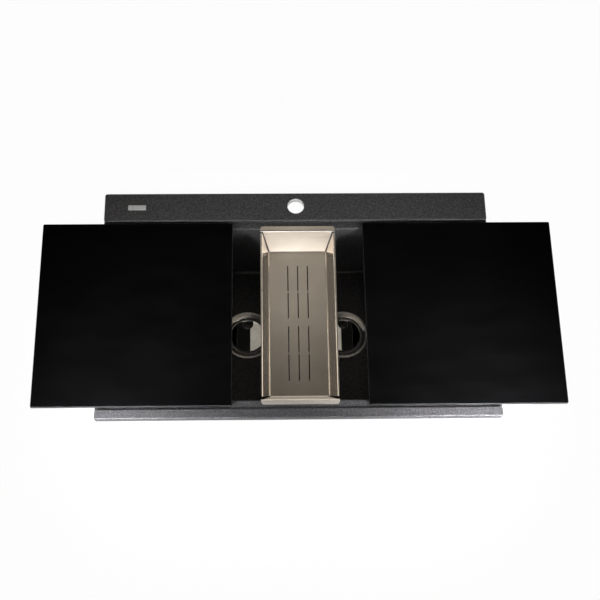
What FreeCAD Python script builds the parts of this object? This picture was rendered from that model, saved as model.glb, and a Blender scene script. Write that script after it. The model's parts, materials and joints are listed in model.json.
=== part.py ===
import FreeCAD, Part
import math
import os

# Double bowl prep sink for a worktop cut-out, with two sliding glass boards and a lift-out colander tray.
# Millimetres. +X to the right, +Y to the tap deck, +Z up.
# The origin is the middle of the sink's plan, on the worktop that the rim rests on.

Vector = FreeCAD.Vector
UP = Vector(0, 0, 1)
BACK = Vector(0, 1, 0)
RIGHT = Vector(1, 0, 0)
NEARNESS = 0.01

# Sink outline
SINK_WIDTH = 800.0
SINK_DEPTH = 500.0
RIM_HEIGHT = 14.0
LEDGE_DROP = 8.0
DECK_DEPTH = 65.5
FRONT_RAIL_DEPTH = 20.0
RIM_CORNER_RADIUS = 5.0
RIM_EDGE_RADIUS = 2.5
LIP_WIDTH = 12.0
SLAB_THICKNESS = 10.0
CUTOUT_CLEARANCE = 2.0

# Bowls
BOWL_DEPTH = 190.0
BOWL_DRAFT = 6.0
BOWL_CORNER_RADIUS = 10.0
BOWL_FLOOR_RADIUS = 8.0
BOWL_EDGE_RADIUS = 3.0
BOWL_WALL = 9.0
BOWL_FLOOR = 10.0
REAR_LEDGE = 16.0
FRONT_LEDGE = 19.5
SIDE_LEDGE = 40.0
UNDERSIDE_RADIUS = 16.0
DIVIDER_WIDTH = 30.0
DIVIDER_DROP = 70.0
DIVIDER_CROWN = 10.0
CROWN_OVERRUN = 0.8

# Tap hole and badge on the deck
TAP_HOLE_RADIUS = 17.5
TAP_HOLE_FROM_REAR = 31.5
BADGE_LENGTH = 37.0
BADGE_WIDTH = 11.5
BADGE_THICKNESS = 0.8
BADGE_FROM_LEFT = 68.0
BADGE_FROM_REAR = 34.0
BADGE_CORNER_RADIUS = 1.2

# Rim seal and worktop clamps
SEAL_THICKNESS = 1.5
SEAL_WIDTH = 10.0
SEAL_INSET = 1.0
WORKTOP_THICKNESS = 28.0
CLIP_SPACING_INNER = 110.0
CLIP_SPACING_OUTER = 310.0
CLIP_FROM_CUTOUT = 10.0
CLIP_REACH = 26.0
CLIP_WIDTH = 18.0
CLIP_SHEET = 2.0
CLIP_DROP = 4.0
BOSS_LENGTH = 24.0
BOSS_WIDTH = 16.0
BOSS_BOTTOM_GAP = 4.0
BOSS_ROOT = 2.0
CLIP_SCREW_RADIUS = 2.0
CLIP_SCREW_GRIP = 14.0
CLIP_SCREW_HEAD_RADIUS = 4.5
CLIP_SCREW_HEAD = 3.0
SCREW_CLEARANCE = 0.1
CLIP_HOLE_CLEARANCE = 0.7

# Boards and tray that lie on the ledge
LOOSE_SET_SHIFT = 3.0
BOARD_WIDTH = 393.0
BOARD_END_GAP = 5.75
GLASS_THICKNESS = 6.0
BOARD_CORNER_RADIUS = 3.0
BOARD_BEVEL = 0.8
BOARD_GAP = 57.5
GLIDE_THICKNESS = 1.5
GLIDE_WIDTH = 6.0
GLIDE_INSET = 0.75
GLIDE_END_INSET = 3.0

TRAY_SHEET = 1.2
TRAY_WIDTH = 155.0
TRAY_END_GAP = 10.0
TRAY_DEPTH = 50.0
TRAY_FLANGE = 10.4
TRAY_SIDE_LIP = 3.0
TRAY_END_INSET = 23.6
TRAY_SIDE_INSET = 14.0
TRAY_BEND = 2.4
TRAY_SEAM = 1.2
TRAY_FLANGE_CORNER = 6.0
SLOT_LENGTH = 58.3
SLOT_WIDTH = 2.2
SLOT_PITCH = 20.6
SLOT_COLUMNS = 3
SLOT_END_GAP = 3.5
SLOT_MIDDLE_GAP = 18.0

# Wastes
DRAIN_SPACING = 207.0
DRAIN_FROM_BOWL_REAR = 159.5
FLANGE_RADIUS = 54.0
FLANGE_FLAT = 4.0
FLANGE_DISH = 3.5
FLANGE_SHEET = 1.0
FLANGE_BEND = 2.0
FLANGE_RECESS_CLEARANCE = 1.0
CUP_RADIUS = 42.0
CUP_TAPER = 0.6
CUP_DEPTH = 45.0
OUTLET_BORE = 20.0
DRAIN_HOLE_CLEARANCE = 3.0
FLANGE_SEAL_THICKNESS = 2.0
BODY_SEAL_THICKNESS = 2.0
BODY_SEAL_WIDTH = 7.0
BODY_WALL = 3.0
BODY_FLANGE_WIDTH = 7.5
BODY_FLANGE_THICKNESS = 4.0
BODY_FLOOR = 4.0
BODY_SUMP = 6.5
BODY_CLEARANCE = 2.0
OUTLET_LENGTH = 22.0
OUTLET_WALL = 3.5
WASTE_SCREW_COUNT = 3
WASTE_SCREW_CIRCLE = 32.0
WASTE_SCREW_RADIUS = 2.0
WASTE_SCREW_LENGTH = 8.0
WASTE_SCREW_HEAD_RADIUS = 3.8
WASTE_SCREW_HEAD = 2.2
WASTE_BOSS_RADIUS = 5.0

# Strainer baskets
LID_RADIUS = 36.5
LID_THICKNESS = 1.2
LID_SUNK = 3.0
LID_EDGE_RADIUS = 0.4
NOTCH_WIDTH = 23.0
NOTCH_FROM_CENTRE = 16.0
BASKET_SHEET = 0.8
BASKET_RIM_GAP = 1.4
BASKET_RIM_WIDTH = 3.0
BASKET_TAPER = 3.0
BASKET_UNDER_LID = 5.0
BASKET_DEPTH = 27.0
BASKET_BEND = 1.5
STEM_RADIUS = 3.5
PLUG_RADIUS = 24.0
PLUG_THICKNESS = 6.0
PLUG_EDGE_RADIUS = 1.0
BASKET_SLOT_WIDTH = 3.0
WALL_SLOT_COUNT = 12
WALL_SLOT_HEIGHT = 14.0
WALL_SLOT_ABOVE_FLOOR = 6.5
FLOOR_SLOT_COUNT = 8
FLOOR_SLOT_START = 10.0
FLOOR_SLOT_LENGTH = 16.0

# Overflows
OVERFLOW_FROM_MIDDLE = 190.0
OVERFLOW_BELOW_LEDGE = 46.0
OVERFLOW_HOLE_RADIUS = 13.0
OVERFLOW_PLATE_RADIUS = 21.0
OVERFLOW_PLATE_THICKNESS = 1.5
OVERFLOW_PLATE_SUNK = 0.5
OVERFLOW_SEAT_WALL = 5.5
OVERFLOW_SEAT_CLEARANCE = 1.0
OVERFLOW_SLOT_COUNT = 8
OVERFLOW_SLOT_CIRCLE = 8.6
OVERFLOW_SLOT_RADIUS = 2.2
OVERFLOW_SEAL_THICKNESS = 2.0
OVERFLOW_SEAL_WIDTH = 6.5
OVERFLOW_FLANGE = 3.0
OVERFLOW_CHAMBER = 24.0
OVERFLOW_WALL = 2.5
OVERFLOW_POST_RADIUS = 4.5
OVERFLOW_SCREW_RADIUS = 2.0
OVERFLOW_SCREW_GRIP = 8.0
OVERFLOW_SCREW_HEAD_RADIUS = 4.0
OVERFLOW_SCREW_HEAD = 2.4
SPIGOT_RADIUS = 10.0
SPIGOT_WALL = 2.0
SPIGOT_LENGTH = 24.0
PIPE_WALL = 2.0
PIPE_OVERLAP = 16.0
PIPE_CLEARANCE = 0.15
PIPE_BEND = 36.0
INLET_ABOVE_SUMP = 24.0

# Pipework below the wastes
DRAIN_PIPE_RADIUS = 20.0
DRAIN_PIPE_WALL = 2.0
LINK_BEND = 40.0
LINK_STRAIGHT = 10.5
COLLAR_THICKNESS = 3.0
WASHER_THICKNESS = 2.5
TEE_HALF_LENGTH = 48.0
TEE_SOCKET = 20.0
TEE_WALL = 3.7
TEE_BRANCH = 8.0
TEE_OUTLET_LENGTH = 62.0
TEE_WASHER = 6.0
NUT_WALL = 4.5
NUT_SHOULDER = 4.0
NUT_THREAD = 14.0
NUT_RIB_COUNT = 14
NUT_RIB = 1.6
NUT_RIB_WIDTH = 4.0
PIPE_FIT = 0.3
THREAD_CLEARANCE = 0.2

# Levels and lines that follow from the sizes above
LEDGE_Z = RIM_HEIGHT - LEDGE_DROP
SLAB_BOTTOM = LEDGE_Z - SLAB_THICKNESS
BOWL_FLOOR_Z = LEDGE_Z - BOWL_DEPTH
BOWL_UNDER_Z = BOWL_FLOOR_Z - BOWL_FLOOR
DIVIDER_TOP = LEDGE_Z - DIVIDER_DROP
DECK_STEP_Y = SINK_DEPTH / 2 - DECK_DEPTH
RAIL_STEP_Y = FRONT_RAIL_DEPTH - SINK_DEPTH / 2
CHANNEL_Y = (DECK_STEP_Y + RAIL_STEP_Y) / 2
CHANNEL_DEPTH = DECK_STEP_Y - RAIL_STEP_Y
BOARD_DEPTH = CHANNEL_DEPTH - 2 * BOARD_END_GAP
TRAY_LENGTH = CHANNEL_DEPTH - 2 * TRAY_END_GAP
BOWL_REAR_Y = DECK_STEP_Y - REAR_LEDGE
BOWL_FRONT_Y = RAIL_STEP_Y + FRONT_LEDGE
BOWL_SIDE_X = SINK_WIDTH / 2 - SIDE_LEDGE
CUTOUT_X = SINK_WIDTH / 2 - LIP_WIDTH
CUTOUT_Y = SINK_DEPTH / 2 - LIP_WIDTH
DRAIN_X = DRAIN_SPACING / 2
DRAIN_Y = BOWL_REAR_Y - DRAIN_FROM_BOWL_REAR
DRAIN_HOLE = CUP_RADIUS + DRAIN_HOLE_CLEARANCE + FLANGE_SHEET
RECESS_FLOOR_Z = BOWL_FLOOR_Z - FLANGE_SHEET - FLANGE_SEAL_THICKNESS
CUP_FLOOR_Z = BOWL_FLOOR_Z - CUP_DEPTH
CUP_UNDER_Z = CUP_FLOOR_Z - FLANGE_SHEET
BODY_TOP_Z = BOWL_UNDER_Z - BODY_SEAL_THICKNESS
BODY_BORE = CUP_RADIUS + FLANGE_SHEET / 2 + BODY_CLEARANCE
BODY_RADIUS = BODY_BORE + BODY_WALL
SUMP_Z = CUP_UNDER_Z - BODY_SUMP
OUTLET_RADIUS = OUTLET_BORE + OUTLET_WALL
OUTLET_END_Z = SUMP_Z - BODY_FLOOR - OUTLET_LENGTH
INLET_Z = SUMP_Z + INLET_ABOVE_SUMP
LINK_TOP_Z = OUTLET_END_Z - WASHER_THICKNESS
LINK_Z = LINK_TOP_Z - LINK_STRAIGHT - LINK_BEND
TEE_RADIUS = DRAIN_PIPE_RADIUS + PIPE_FIT + TEE_WALL
LID_TOP_Z = BOWL_FLOOR_Z - LID_SUNK
LID_UNDER_Z = LID_TOP_Z - LID_THICKNESS
OVERFLOW_Z = LEDGE_Z - OVERFLOW_BELOW_LEDGE


def wall_inset(z):
    """How far a bowl wall leans in at height z, from nothing at the ledge."""
    return BOWL_DRAFT * (LEDGE_Z - z) / BOWL_DEPTH


OVERFLOW_INNER_Y = BOWL_REAR_Y - wall_inset(OVERFLOW_Z) + OVERFLOW_PLATE_SUNK + OVERFLOW_PLATE_THICKNESS
OVERFLOW_OUTER_Y = OVERFLOW_INNER_Y + OVERFLOW_SEAT_WALL
OVERFLOW_FLANGE_Y = OVERFLOW_OUTER_Y + OVERFLOW_SEAL_THICKNESS
OVERFLOW_PIPE_Y = OVERFLOW_FLANGE_Y + OVERFLOW_FLANGE + OVERFLOW_CHAMBER / 2


def block(x0, x1, y0, y1, z0, z1):
    """A box between two corners."""
    return Part.makeBox(x1 - x0, y1 - y0, z1 - z0, Vector(x0, y0, z0))


def rod(radius, start, direction, length):
    """A round bar from a point along a direction."""
    return Part.makeCylinder(radius, length, start, direction)


def ring(inner, outer, centre, z0, z1):
    """A flat upright ring about a plan point."""
    base = Vector(centre.x, centre.y, z0)
    return rod(outer, base, UP, z1 - z0).cut(rod(inner, base, UP, z1 - z0))


def edges_where(shape, test):
    """The edges whose every vertex, and middle, pass a test."""
    chosen = []
    for edge in shape.Edges:
        points = [vertex.Point for vertex in edge.Vertexes]
        points.append(edge.valueAt((edge.FirstParameter + edge.LastParameter) / 2))
        if all(test(point) for point in points):
            chosen.append(edge)
    return chosen


def near(a, b):
    return abs(a - b) < NEARNESS


def merged(shapes):
    """One solid from overlapping or touching ones."""
    return shapes[0].fuse(shapes[1:]).removeSplitter()


def rounded_plate(x0, x1, y0, y1, z0, z1, radius):
    """A box with its four upright edges rounded."""
    plate = block(x0, x1, y0, y1, z0, z1)
    upright = [edge for edge in plate.Edges if near(edge.tangentAt(edge.FirstParameter).z ** 2, 1)]
    return plate.makeFillet(radius, upright)


def rounded_path(points, radii):
    """Edges of an open flat path: straight runs joined by tangent arcs, one radius for each inner point."""
    edges = []
    start = points[0]
    for before, corner, after, radius in zip(points, points[1:], points[2:], radii):
        incoming = (corner - before).normalize()
        outgoing = (after - corner).normalize()
        half_turn = incoming.getAngle(outgoing) / 2
        reach = radius * math.tan(half_turn)
        arc_start = corner - incoming * reach
        arc_end = corner + outgoing * reach
        inward = (outgoing - incoming).normalize()
        arc_middle = corner + inward * (radius / math.cos(half_turn) - radius)
        edges.append(Part.LineSegment(start, arc_start).toShape())
        edges.append(Part.Arc(arc_start, arc_middle, arc_end).toShape())
        start = arc_end
    edges.append(Part.LineSegment(start, points[-1]).toShape())
    return edges


def offset_corners(points, side, distance):
    """A polyline in a plane moved sideways; side turns a direction into its left."""
    moved = []
    for index, point in enumerate(points):
        lefts = []
        if index > 0:
            lefts.append(side((point - points[index - 1]).normalize()))
        if index < len(points) - 1:
            lefts.append(side((points[index + 1] - point).normalize()))
        left = sum(lefts, Vector()).normalize()
        moved.append(point + left * (distance / left.dot(lefts[0])))
    return moved


def bent_sheet(points, thickness, bend, normal):
    """The section of a sheet folded along a polyline; bend is the inside radius of each fold."""
    def left_of(direction):
        return normal.cross(direction)

    turns = []
    for before, corner, after in zip(points, points[1:], points[2:]):
        turns.append(math.copysign(1, left_of(corner - before).dot(after - corner)))
    middle = bend + thickness / 2
    left_radii = [middle - turn * thickness / 2 for turn in turns]
    right_radii = [middle + turn * thickness / 2 for turn in turns]
    left = offset_corners(points, left_of, thickness / 2)
    right = offset_corners(points, left_of, -thickness / 2)
    edges = rounded_path(left, left_radii) + rounded_path(right, right_radii)
    edges.append(Part.LineSegment(left[0], right[0]).toShape())
    edges.append(Part.LineSegment(left[-1], right[-1]).toShape())
    return Part.Face(Part.Wire(Part.__sortEdges__(edges)))


def turned(outline, centre):
    """A solid of revolution about the upright line through a plan point, from (radius, height) corners."""
    points = [Vector(centre.x + radius, centre.y, z) for radius, z in outline]
    face = Part.Face(Part.makePolygon(points + points[:1]))
    return face.revolve(centre, UP, 360)


def tube(points, bend, radius, wall):
    """A pipe along straight runs joined by tangent arcs."""
    path = Part.Wire(rounded_path(points, [bend] * (len(points) - 2)))
    direction = points[1] - points[0]
    skins = []
    for size in (radius, radius - wall):
        circle = Part.Wire(Part.Circle(points[0], direction, size).toShape())
        skins.append(path.makePipeShell([circle], True, False))
    return skins[0].cut(skins[1])


def around(centre, radius, count, start=0.0):
    """Evenly spaced plan points on a circle."""
    places = []
    for index in range(count):
        angle = start + 2 * math.pi * index / count
        places.append(centre + Vector(radius * math.cos(angle), radius * math.sin(angle), 0))
    return places


def leaning_block(x0, x1, y0, y1, z_top, z_bottom, lean_left=1.0, lean_right=1.0):
    """A block with the bowls' draft; its sides are given where they cross the ledge's level."""
    corners = []
    for z in (z_bottom, z_top):
        inset = wall_inset(z)
        left = x0 + inset * lean_left
        right = x1 - inset * lean_right
        front = y0 + inset
        rear = y1 - inset
        plan = ((left, front), (right, front), (right, rear), (left, rear))
        corners.append([Vector(x, y, z) for x, y in plan])
    low, high = corners
    loops = [low[::-1], high]
    for index in range(4):
        following = (index + 1) % 4
        loops.append([low[index], low[following], high[following], high[index]])
    faces = [Part.Face(Part.makePolygon(loop + loop[:1])) for loop in loops]
    return Part.makeSolid(Part.makeShell(faces))


def round_block(solid, z_bottom, corner_radius, bottom_radius):
    """Rounds a leaning block's upright edges, then its bottom edge."""
    upright = [edge for edge in solid.Edges if abs(edge.Vertexes[0].Z - edge.Vertexes[1].Z) > 1]
    solid = solid.makeFillet(corner_radius, upright)
    return solid.makeFillet(bottom_radius, edges_where(solid, lambda p: near(p.z, z_bottom)))


def drain_centre(side):
    return Vector(side * DRAIN_X, DRAIN_Y, 0)


def clip_places():
    """Where each worktop clamp is screwed on, with the way out to the worktop."""
    places = []
    for outward in (1, -1):
        for x in (-CLIP_SPACING_OUTER, -CLIP_SPACING_INNER, CLIP_SPACING_INNER, CLIP_SPACING_OUTER):
            places.append((Vector(x, outward * (CUTOUT_Y - CLIP_FROM_CUTOUT), 0), Vector(0, outward, 0)))
        places.append((Vector(outward * (CUTOUT_X - CLIP_FROM_CUTOUT), CHANNEL_Y, 0), Vector(outward, 0, 0)))
    return places


CLIP_TOP_Z = -WORKTOP_THICKNESS
CLIP_PLATE_Z = CLIP_TOP_Z - CLIP_DROP - CLIP_SHEET
BOSS_BOTTOM_Z = CLIP_TOP_Z + BOSS_BOTTOM_GAP


def along(place, outward, u0, u1, v0, v1, z0, z1):
    """A box in a clamp's own directions: u out to the worktop, v along the cut-out's edge."""
    sideways = UP.cross(outward)
    first = place + outward * u0 + sideways * v0
    last = place + outward * u1 + sideways * v1
    x0, x1 = sorted((first.x, last.x))
    y0, y1 = sorted((first.y, last.y))
    return block(x0, x1, y0, y1, z0, z1)


def bowl_cavity(side):
    """The space of one bowl, with rounded corners and floor."""
    inner_x = DIVIDER_WIDTH / 2 - wall_inset(DIVIDER_TOP - DIVIDER_CROWN)
    x0, x1 = sorted((side * inner_x, side * BOWL_SIDE_X))
    space = leaning_block(x0, x1, BOWL_FRONT_Y, BOWL_REAR_Y, RIM_HEIGHT, BOWL_FLOOR_Z)
    return round_block(space, BOWL_FLOOR_Z, BOWL_CORNER_RADIUS, BOWL_FLOOR_RADIUS)


def divider_passage():
    """The open space above the low divider, which has a crowned top."""
    half = DIVIDER_WIDTH / 2
    crown_radius = (half ** 2 + DIVIDER_CROWN ** 2) / (2 * DIVIDER_CROWN)
    reach = half + (crown_radius - half) * CROWN_OVERRUN
    foot = DIVIDER_TOP - crown_radius + math.sqrt(crown_radius ** 2 - reach ** 2)
    side_x = half + BOWL_CORNER_RADIUS * 2
    top = RIM_HEIGHT
    corners = [(-reach, foot), (-side_x, foot), (-side_x, top), (side_x, top), (side_x, foot), (reach, foot)]
    points = [Vector(x, BOWL_FRONT_Y - BOWL_WALL, z) for x, z in corners]
    edges = [Part.LineSegment(a, b).toShape() for a, b in zip(points, points[1:])]
    crown = Vector(0, points[0].y, DIVIDER_TOP)
    edges.append(Part.Arc(points[-1], crown, points[0]).toShape())
    prism = Part.Face(Part.Wire(edges)).extrude(BACK * (BOWL_REAR_Y - BOWL_FRONT_Y + 2 * BOWL_WALL))
    opening = leaning_block(-BOWL_SIDE_X, BOWL_SIDE_X, BOWL_FRONT_Y, BOWL_REAR_Y, RIM_HEIGHT, BOWL_FLOOR_Z)
    return prism.common(opening)


def rim_bar(y0, y1):
    """The raised tap deck or front rail, with its upper edges rounded."""
    half = SINK_WIDTH / 2
    bar = rounded_plate(-half, half, y0, y1, SEAL_THICKNESS, RIM_HEIGHT, RIM_CORNER_RADIUS)
    return bar.makeFillet(RIM_EDGE_RADIUS, edges_where(bar, lambda p: near(p.z, RIM_HEIGHT)))


def moulding():
    """The whole moulded sink: ledge, deck, rail and bowls, with its holes."""
    half = SINK_WIDTH / 2
    rear = SINK_DEPTH / 2
    ledge = rounded_plate(-half, half, -rear, rear, SEAL_THICKNESS, LEDGE_Z, RIM_CORNER_RADIUS)
    slab_x = CUTOUT_X - CUTOUT_CLEARANCE
    slab_front = CUTOUT_CLEARANCE - CUTOUT_Y
    slab = block(-slab_x, slab_x, slab_front, DECK_STEP_Y + SLAB_THICKNESS, SLAB_BOTTOM, LEDGE_Z)
    outside = leaning_block(
        -BOWL_SIDE_X - BOWL_WALL, BOWL_SIDE_X + BOWL_WALL,
        BOWL_FRONT_Y - BOWL_WALL, BOWL_REAR_Y + BOWL_WALL, SLAB_BOTTOM + SLAB_THICKNESS / 2, BOWL_UNDER_Z,
    )
    outside = round_block(outside, BOWL_UNDER_Z, BOWL_CORNER_RADIUS + BOWL_WALL, UNDERSIDE_RADIUS)
    bosses = []
    in_bowl_wall = -BOSS_WIDTH / 2 - BOWL_WALL / 2
    for place, outward in clip_places():
        bosses.append(along(
            place, outward, in_bowl_wall, BOSS_WIDTH / 2, -BOSS_LENGTH / 2, BOSS_LENGTH / 2,
            BOSS_BOTTOM_Z, SEAL_THICKNESS + BOSS_ROOT,
        ))
    deck = rim_bar(DECK_STEP_Y, rear)
    rail = rim_bar(-rear, RAIL_STEP_Y)
    basin = merged([ledge, slab, outside, deck, rail] + bosses)
    basin = basin.cut([bowl_cavity(-1), bowl_cavity(1), divider_passage()]).removeSplitter()
    basin = basin.makeFillet(BOWL_EDGE_RADIUS, edges_where(basin, bowl_mouth))
    return basin.cut(basin_holes()).removeSplitter()


def deck_room():
    """The space behind the deck's step."""
    half = SINK_WIDTH / 2
    return block(-half, half, DECK_STEP_Y, SINK_DEPTH / 2, BOWL_UNDER_Z, RIM_HEIGHT)


def sink_basin():
    """The moulding in front of the deck's step: the rim, and below it the two bowls, face to face."""
    basin = moulding().cut(deck_room()).removeSplitter()
    side = SINK_WIDTH / 2
    front = -SINK_DEPTH / 2
    rim_room = block(-side, side, front, DECK_STEP_Y, SLAB_BOTTOM, RIM_HEIGHT)
    left_room = block(-side, 0, front, -front, BOWL_UNDER_Z, SLAB_BOTTOM)
    right_room = block(0, side, front, -front, BOWL_UNDER_Z, SLAB_BOTTOM)
    solids = []
    for room in (rim_room, left_room, right_room):
        solids.extend(basin.common(room).removeSplitter().Solids)
    return Part.makeCompound(solids)


def tap_deck():
    """The moulding behind the step, which meets the basin face to face."""
    return moulding().common(deck_room()).removeSplitter()


def bowl_mouth(point):
    """True on the edge where the bowls open in the ledge."""
    inside_x = abs(point.x) < BOWL_SIDE_X + NEARNESS
    inside_y = BOWL_FRONT_Y - NEARNESS < point.y < BOWL_REAR_Y + NEARNESS
    return near(point.z, LEDGE_Z) and inside_x and inside_y


def basin_holes():
    """Tap hole, drains, overflows, clamp screw holes and the hollow under the divider."""
    holes = [rod(TAP_HOLE_RADIUS, Vector(0, SINK_DEPTH / 2 - TAP_HOLE_FROM_REAR, 0), UP, RIM_HEIGHT * 2)]
    for side in (-1, 1):
        centre = drain_centre(side)
        recess = FLANGE_RADIUS + FLANGE_RECESS_CLEARANCE
        recess_depth = BOWL_FLOOR_Z - RECESS_FLOOR_Z + BOWL_FLOOR_RADIUS
        holes.append(rod(recess, centre + UP * RECESS_FLOOR_Z, UP, recess_depth))
        holes.append(rod(DRAIN_HOLE, centre + UP * (BOWL_UNDER_Z - BOWL_FLOOR), UP, 2 * BOWL_FLOOR))
        seat = OVERFLOW_PLATE_RADIUS + OVERFLOW_SEAT_CLEARANCE
        middle = Vector(side * OVERFLOW_FROM_MIDDLE, 0, OVERFLOW_Z)
        holes.append(rod(seat, middle + BACK * OVERFLOW_INNER_Y, BACK * -1, BOWL_WALL))
        holes.append(rod(seat, middle + BACK * OVERFLOW_OUTER_Y, BACK, BOWL_WALL))
        inside = middle + BACK * (BOWL_REAR_Y - BOWL_WALL)
        holes.append(rod(OVERFLOW_HOLE_RADIUS, inside, BACK, 3 * BOWL_WALL))
    for place, outward in clip_places():
        screw_hole = CLIP_SCREW_RADIUS + SCREW_CLEARANCE
        holes.append(rod(screw_hole, place + UP * BOSS_BOTTOM_Z, UP, CLIP_SCREW_GRIP + SCREW_CLEARANCE))
    hollow_top = DIVIDER_TOP - DIVIDER_CROWN
    hollow_x = DIVIDER_WIDTH / 2 - BOWL_WALL - wall_inset(hollow_top)
    holes.append(leaning_block(
        -hollow_x, hollow_x, BOWL_FRONT_Y + BOWL_WALL, BOWL_REAR_Y - BOWL_WALL,
        hollow_top, BOWL_UNDER_Z, -1.0, -1.0,
    ))
    return holes


def badge_plate():
    """A blank plate on the deck."""
    x = BADGE_FROM_LEFT - SINK_WIDTH / 2
    y = SINK_DEPTH / 2 - BADGE_FROM_REAR
    top = RIM_HEIGHT + BADGE_THICKNESS
    plate = rounded_plate(
        x - BADGE_LENGTH / 2, x + BADGE_LENGTH / 2, y - BADGE_WIDTH / 2, y + BADGE_WIDTH / 2,
        RIM_HEIGHT, top, BADGE_CORNER_RADIUS,
    )
    return plate.makeChamfer(BADGE_THICKNESS / 3, edges_where(plate, lambda p: near(p.z, top)))


def rim_seal():
    """A flat foam strip round the underside of the rim."""
    x = SINK_WIDTH / 2 - SEAL_INSET
    y = SINK_DEPTH / 2 - SEAL_INSET
    outer = rounded_plate(-x, x, -y, y, 0, SEAL_THICKNESS, RIM_CORNER_RADIUS)
    x -= SEAL_WIDTH
    y -= SEAL_WIDTH
    inner = rounded_plate(-x, x, -y, y, 0, SEAL_THICKNESS, RIM_CORNER_RADIUS)
    return outer.cut(inner)


def fixing_clips():
    """Bent steel clamps: a heel against the boss and a toe under the worktop."""
    clips = []
    for place, outward in clip_places():
        half = CLIP_WIDTH / 2
        heel = -BOSS_WIDTH / 2
        top_of_plate = CLIP_PLATE_Z + CLIP_SHEET
        plate = along(place, outward, heel, CLIP_REACH, -half, half, CLIP_PLATE_Z, top_of_plate)
        heel_leg = along(place, outward, heel, heel + CLIP_SHEET, -half, half, CLIP_PLATE_Z, BOSS_BOTTOM_Z)
        toe_x = CLIP_REACH - CLIP_SHEET
        toe = along(place, outward, toe_x, CLIP_REACH, -half, half, CLIP_PLATE_Z, CLIP_TOP_Z)
        hole = rod(CLIP_SCREW_RADIUS + CLIP_HOLE_CLEARANCE, place + UP * CLIP_PLATE_Z, UP, CLIP_SHEET)
        clips.append(merged([plate, heel_leg, toe]).cut(hole))
    return Part.makeCompound(clips)


def headed_screw(seat, direction, radius, length, head_radius, head):
    """A round-headed screw, from its head's seat along its thread."""
    shank = rod(radius, seat, direction, length)
    cap = rod(head_radius, seat, direction * -1, head)
    cap = cap.makeFillet(head / 3, [cap.Edges[0] if cap.Edges[0].Closed else cap.Edges[1]])
    return merged([shank, cap])


def clip_screws():
    screws = []
    length = BOSS_BOTTOM_Z - CLIP_PLATE_Z + CLIP_SCREW_GRIP
    for place, outward in clip_places():
        seat = place + UP * CLIP_PLATE_Z
        screws.append(headed_screw(
            seat, UP, CLIP_SCREW_RADIUS, length, CLIP_SCREW_HEAD_RADIUS, CLIP_SCREW_HEAD,
        ))
    return Part.makeCompound(screws)


def board_span(side):
    """A board's left and right edges."""
    inner = LOOSE_SET_SHIFT + side * (TRAY_WIDTH / 2 + BOARD_GAP)
    return sorted((inner, inner + side * BOARD_WIDTH))


def chopping_board(side):
    """A black glass board with bevelled edges."""
    x0, x1 = board_span(side)
    y0 = CHANNEL_Y - BOARD_DEPTH / 2
    y1 = CHANNEL_Y + BOARD_DEPTH / 2
    z0 = LEDGE_Z + GLIDE_THICKNESS
    z1 = z0 + GLASS_THICKNESS
    board = rounded_plate(x0, x1, y0, y1, z0, z1, BOARD_CORNER_RADIUS)
    return board.makeChamfer(BOARD_BEVEL, edges_where(board, lambda p: near(p.z, z0) or near(p.z, z1)))


def board_glides(side):
    """The soft strips that a board slides on."""
    x0, x1 = board_span(side)
    strips = []
    for end in (-1, 1):
        outer = CHANNEL_Y + end * (BOARD_DEPTH / 2 - BOARD_BEVEL - GLIDE_INSET)
        y0, y1 = sorted((outer, outer - end * GLIDE_WIDTH))
        strips.append(block(
            x0 + GLIDE_END_INSET, x1 - GLIDE_END_INSET, y0, y1, LEDGE_Z, LEDGE_Z + GLIDE_THICKNESS,
        ))
    return Part.makeCompound(strips)


def tray_slots(centre_x, z_under):
    """The drain slots: rows of long slots, with a wide gap across the middle."""
    slots = []
    straight = SLOT_LENGTH - SLOT_WIDTH
    for column in range(SLOT_COLUMNS):
        x = centre_x + (column - (SLOT_COLUMNS - 1) / 2) * SLOT_PITCH
        for first in (SLOT_MIDDLE_GAP / 2, SLOT_MIDDLE_GAP / 2 + SLOT_LENGTH + SLOT_END_GAP):
            for end in (-1, 1):
                y = CHANNEL_Y + end * (first + SLOT_LENGTH / 2)
                slots.append(block(
                    x - SLOT_WIDTH / 2, x + SLOT_WIDTH / 2, y - straight / 2, y + straight / 2,
                    z_under - TRAY_SHEET, z_under + 2 * TRAY_SHEET,
                ))
                for tip in (-straight / 2, straight / 2):
                    foot = Vector(x, y + tip, z_under - TRAY_SHEET)
                    slots.append(rod(SLOT_WIDTH / 2, foot, UP, 3 * TRAY_SHEET))
    return slots


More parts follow.
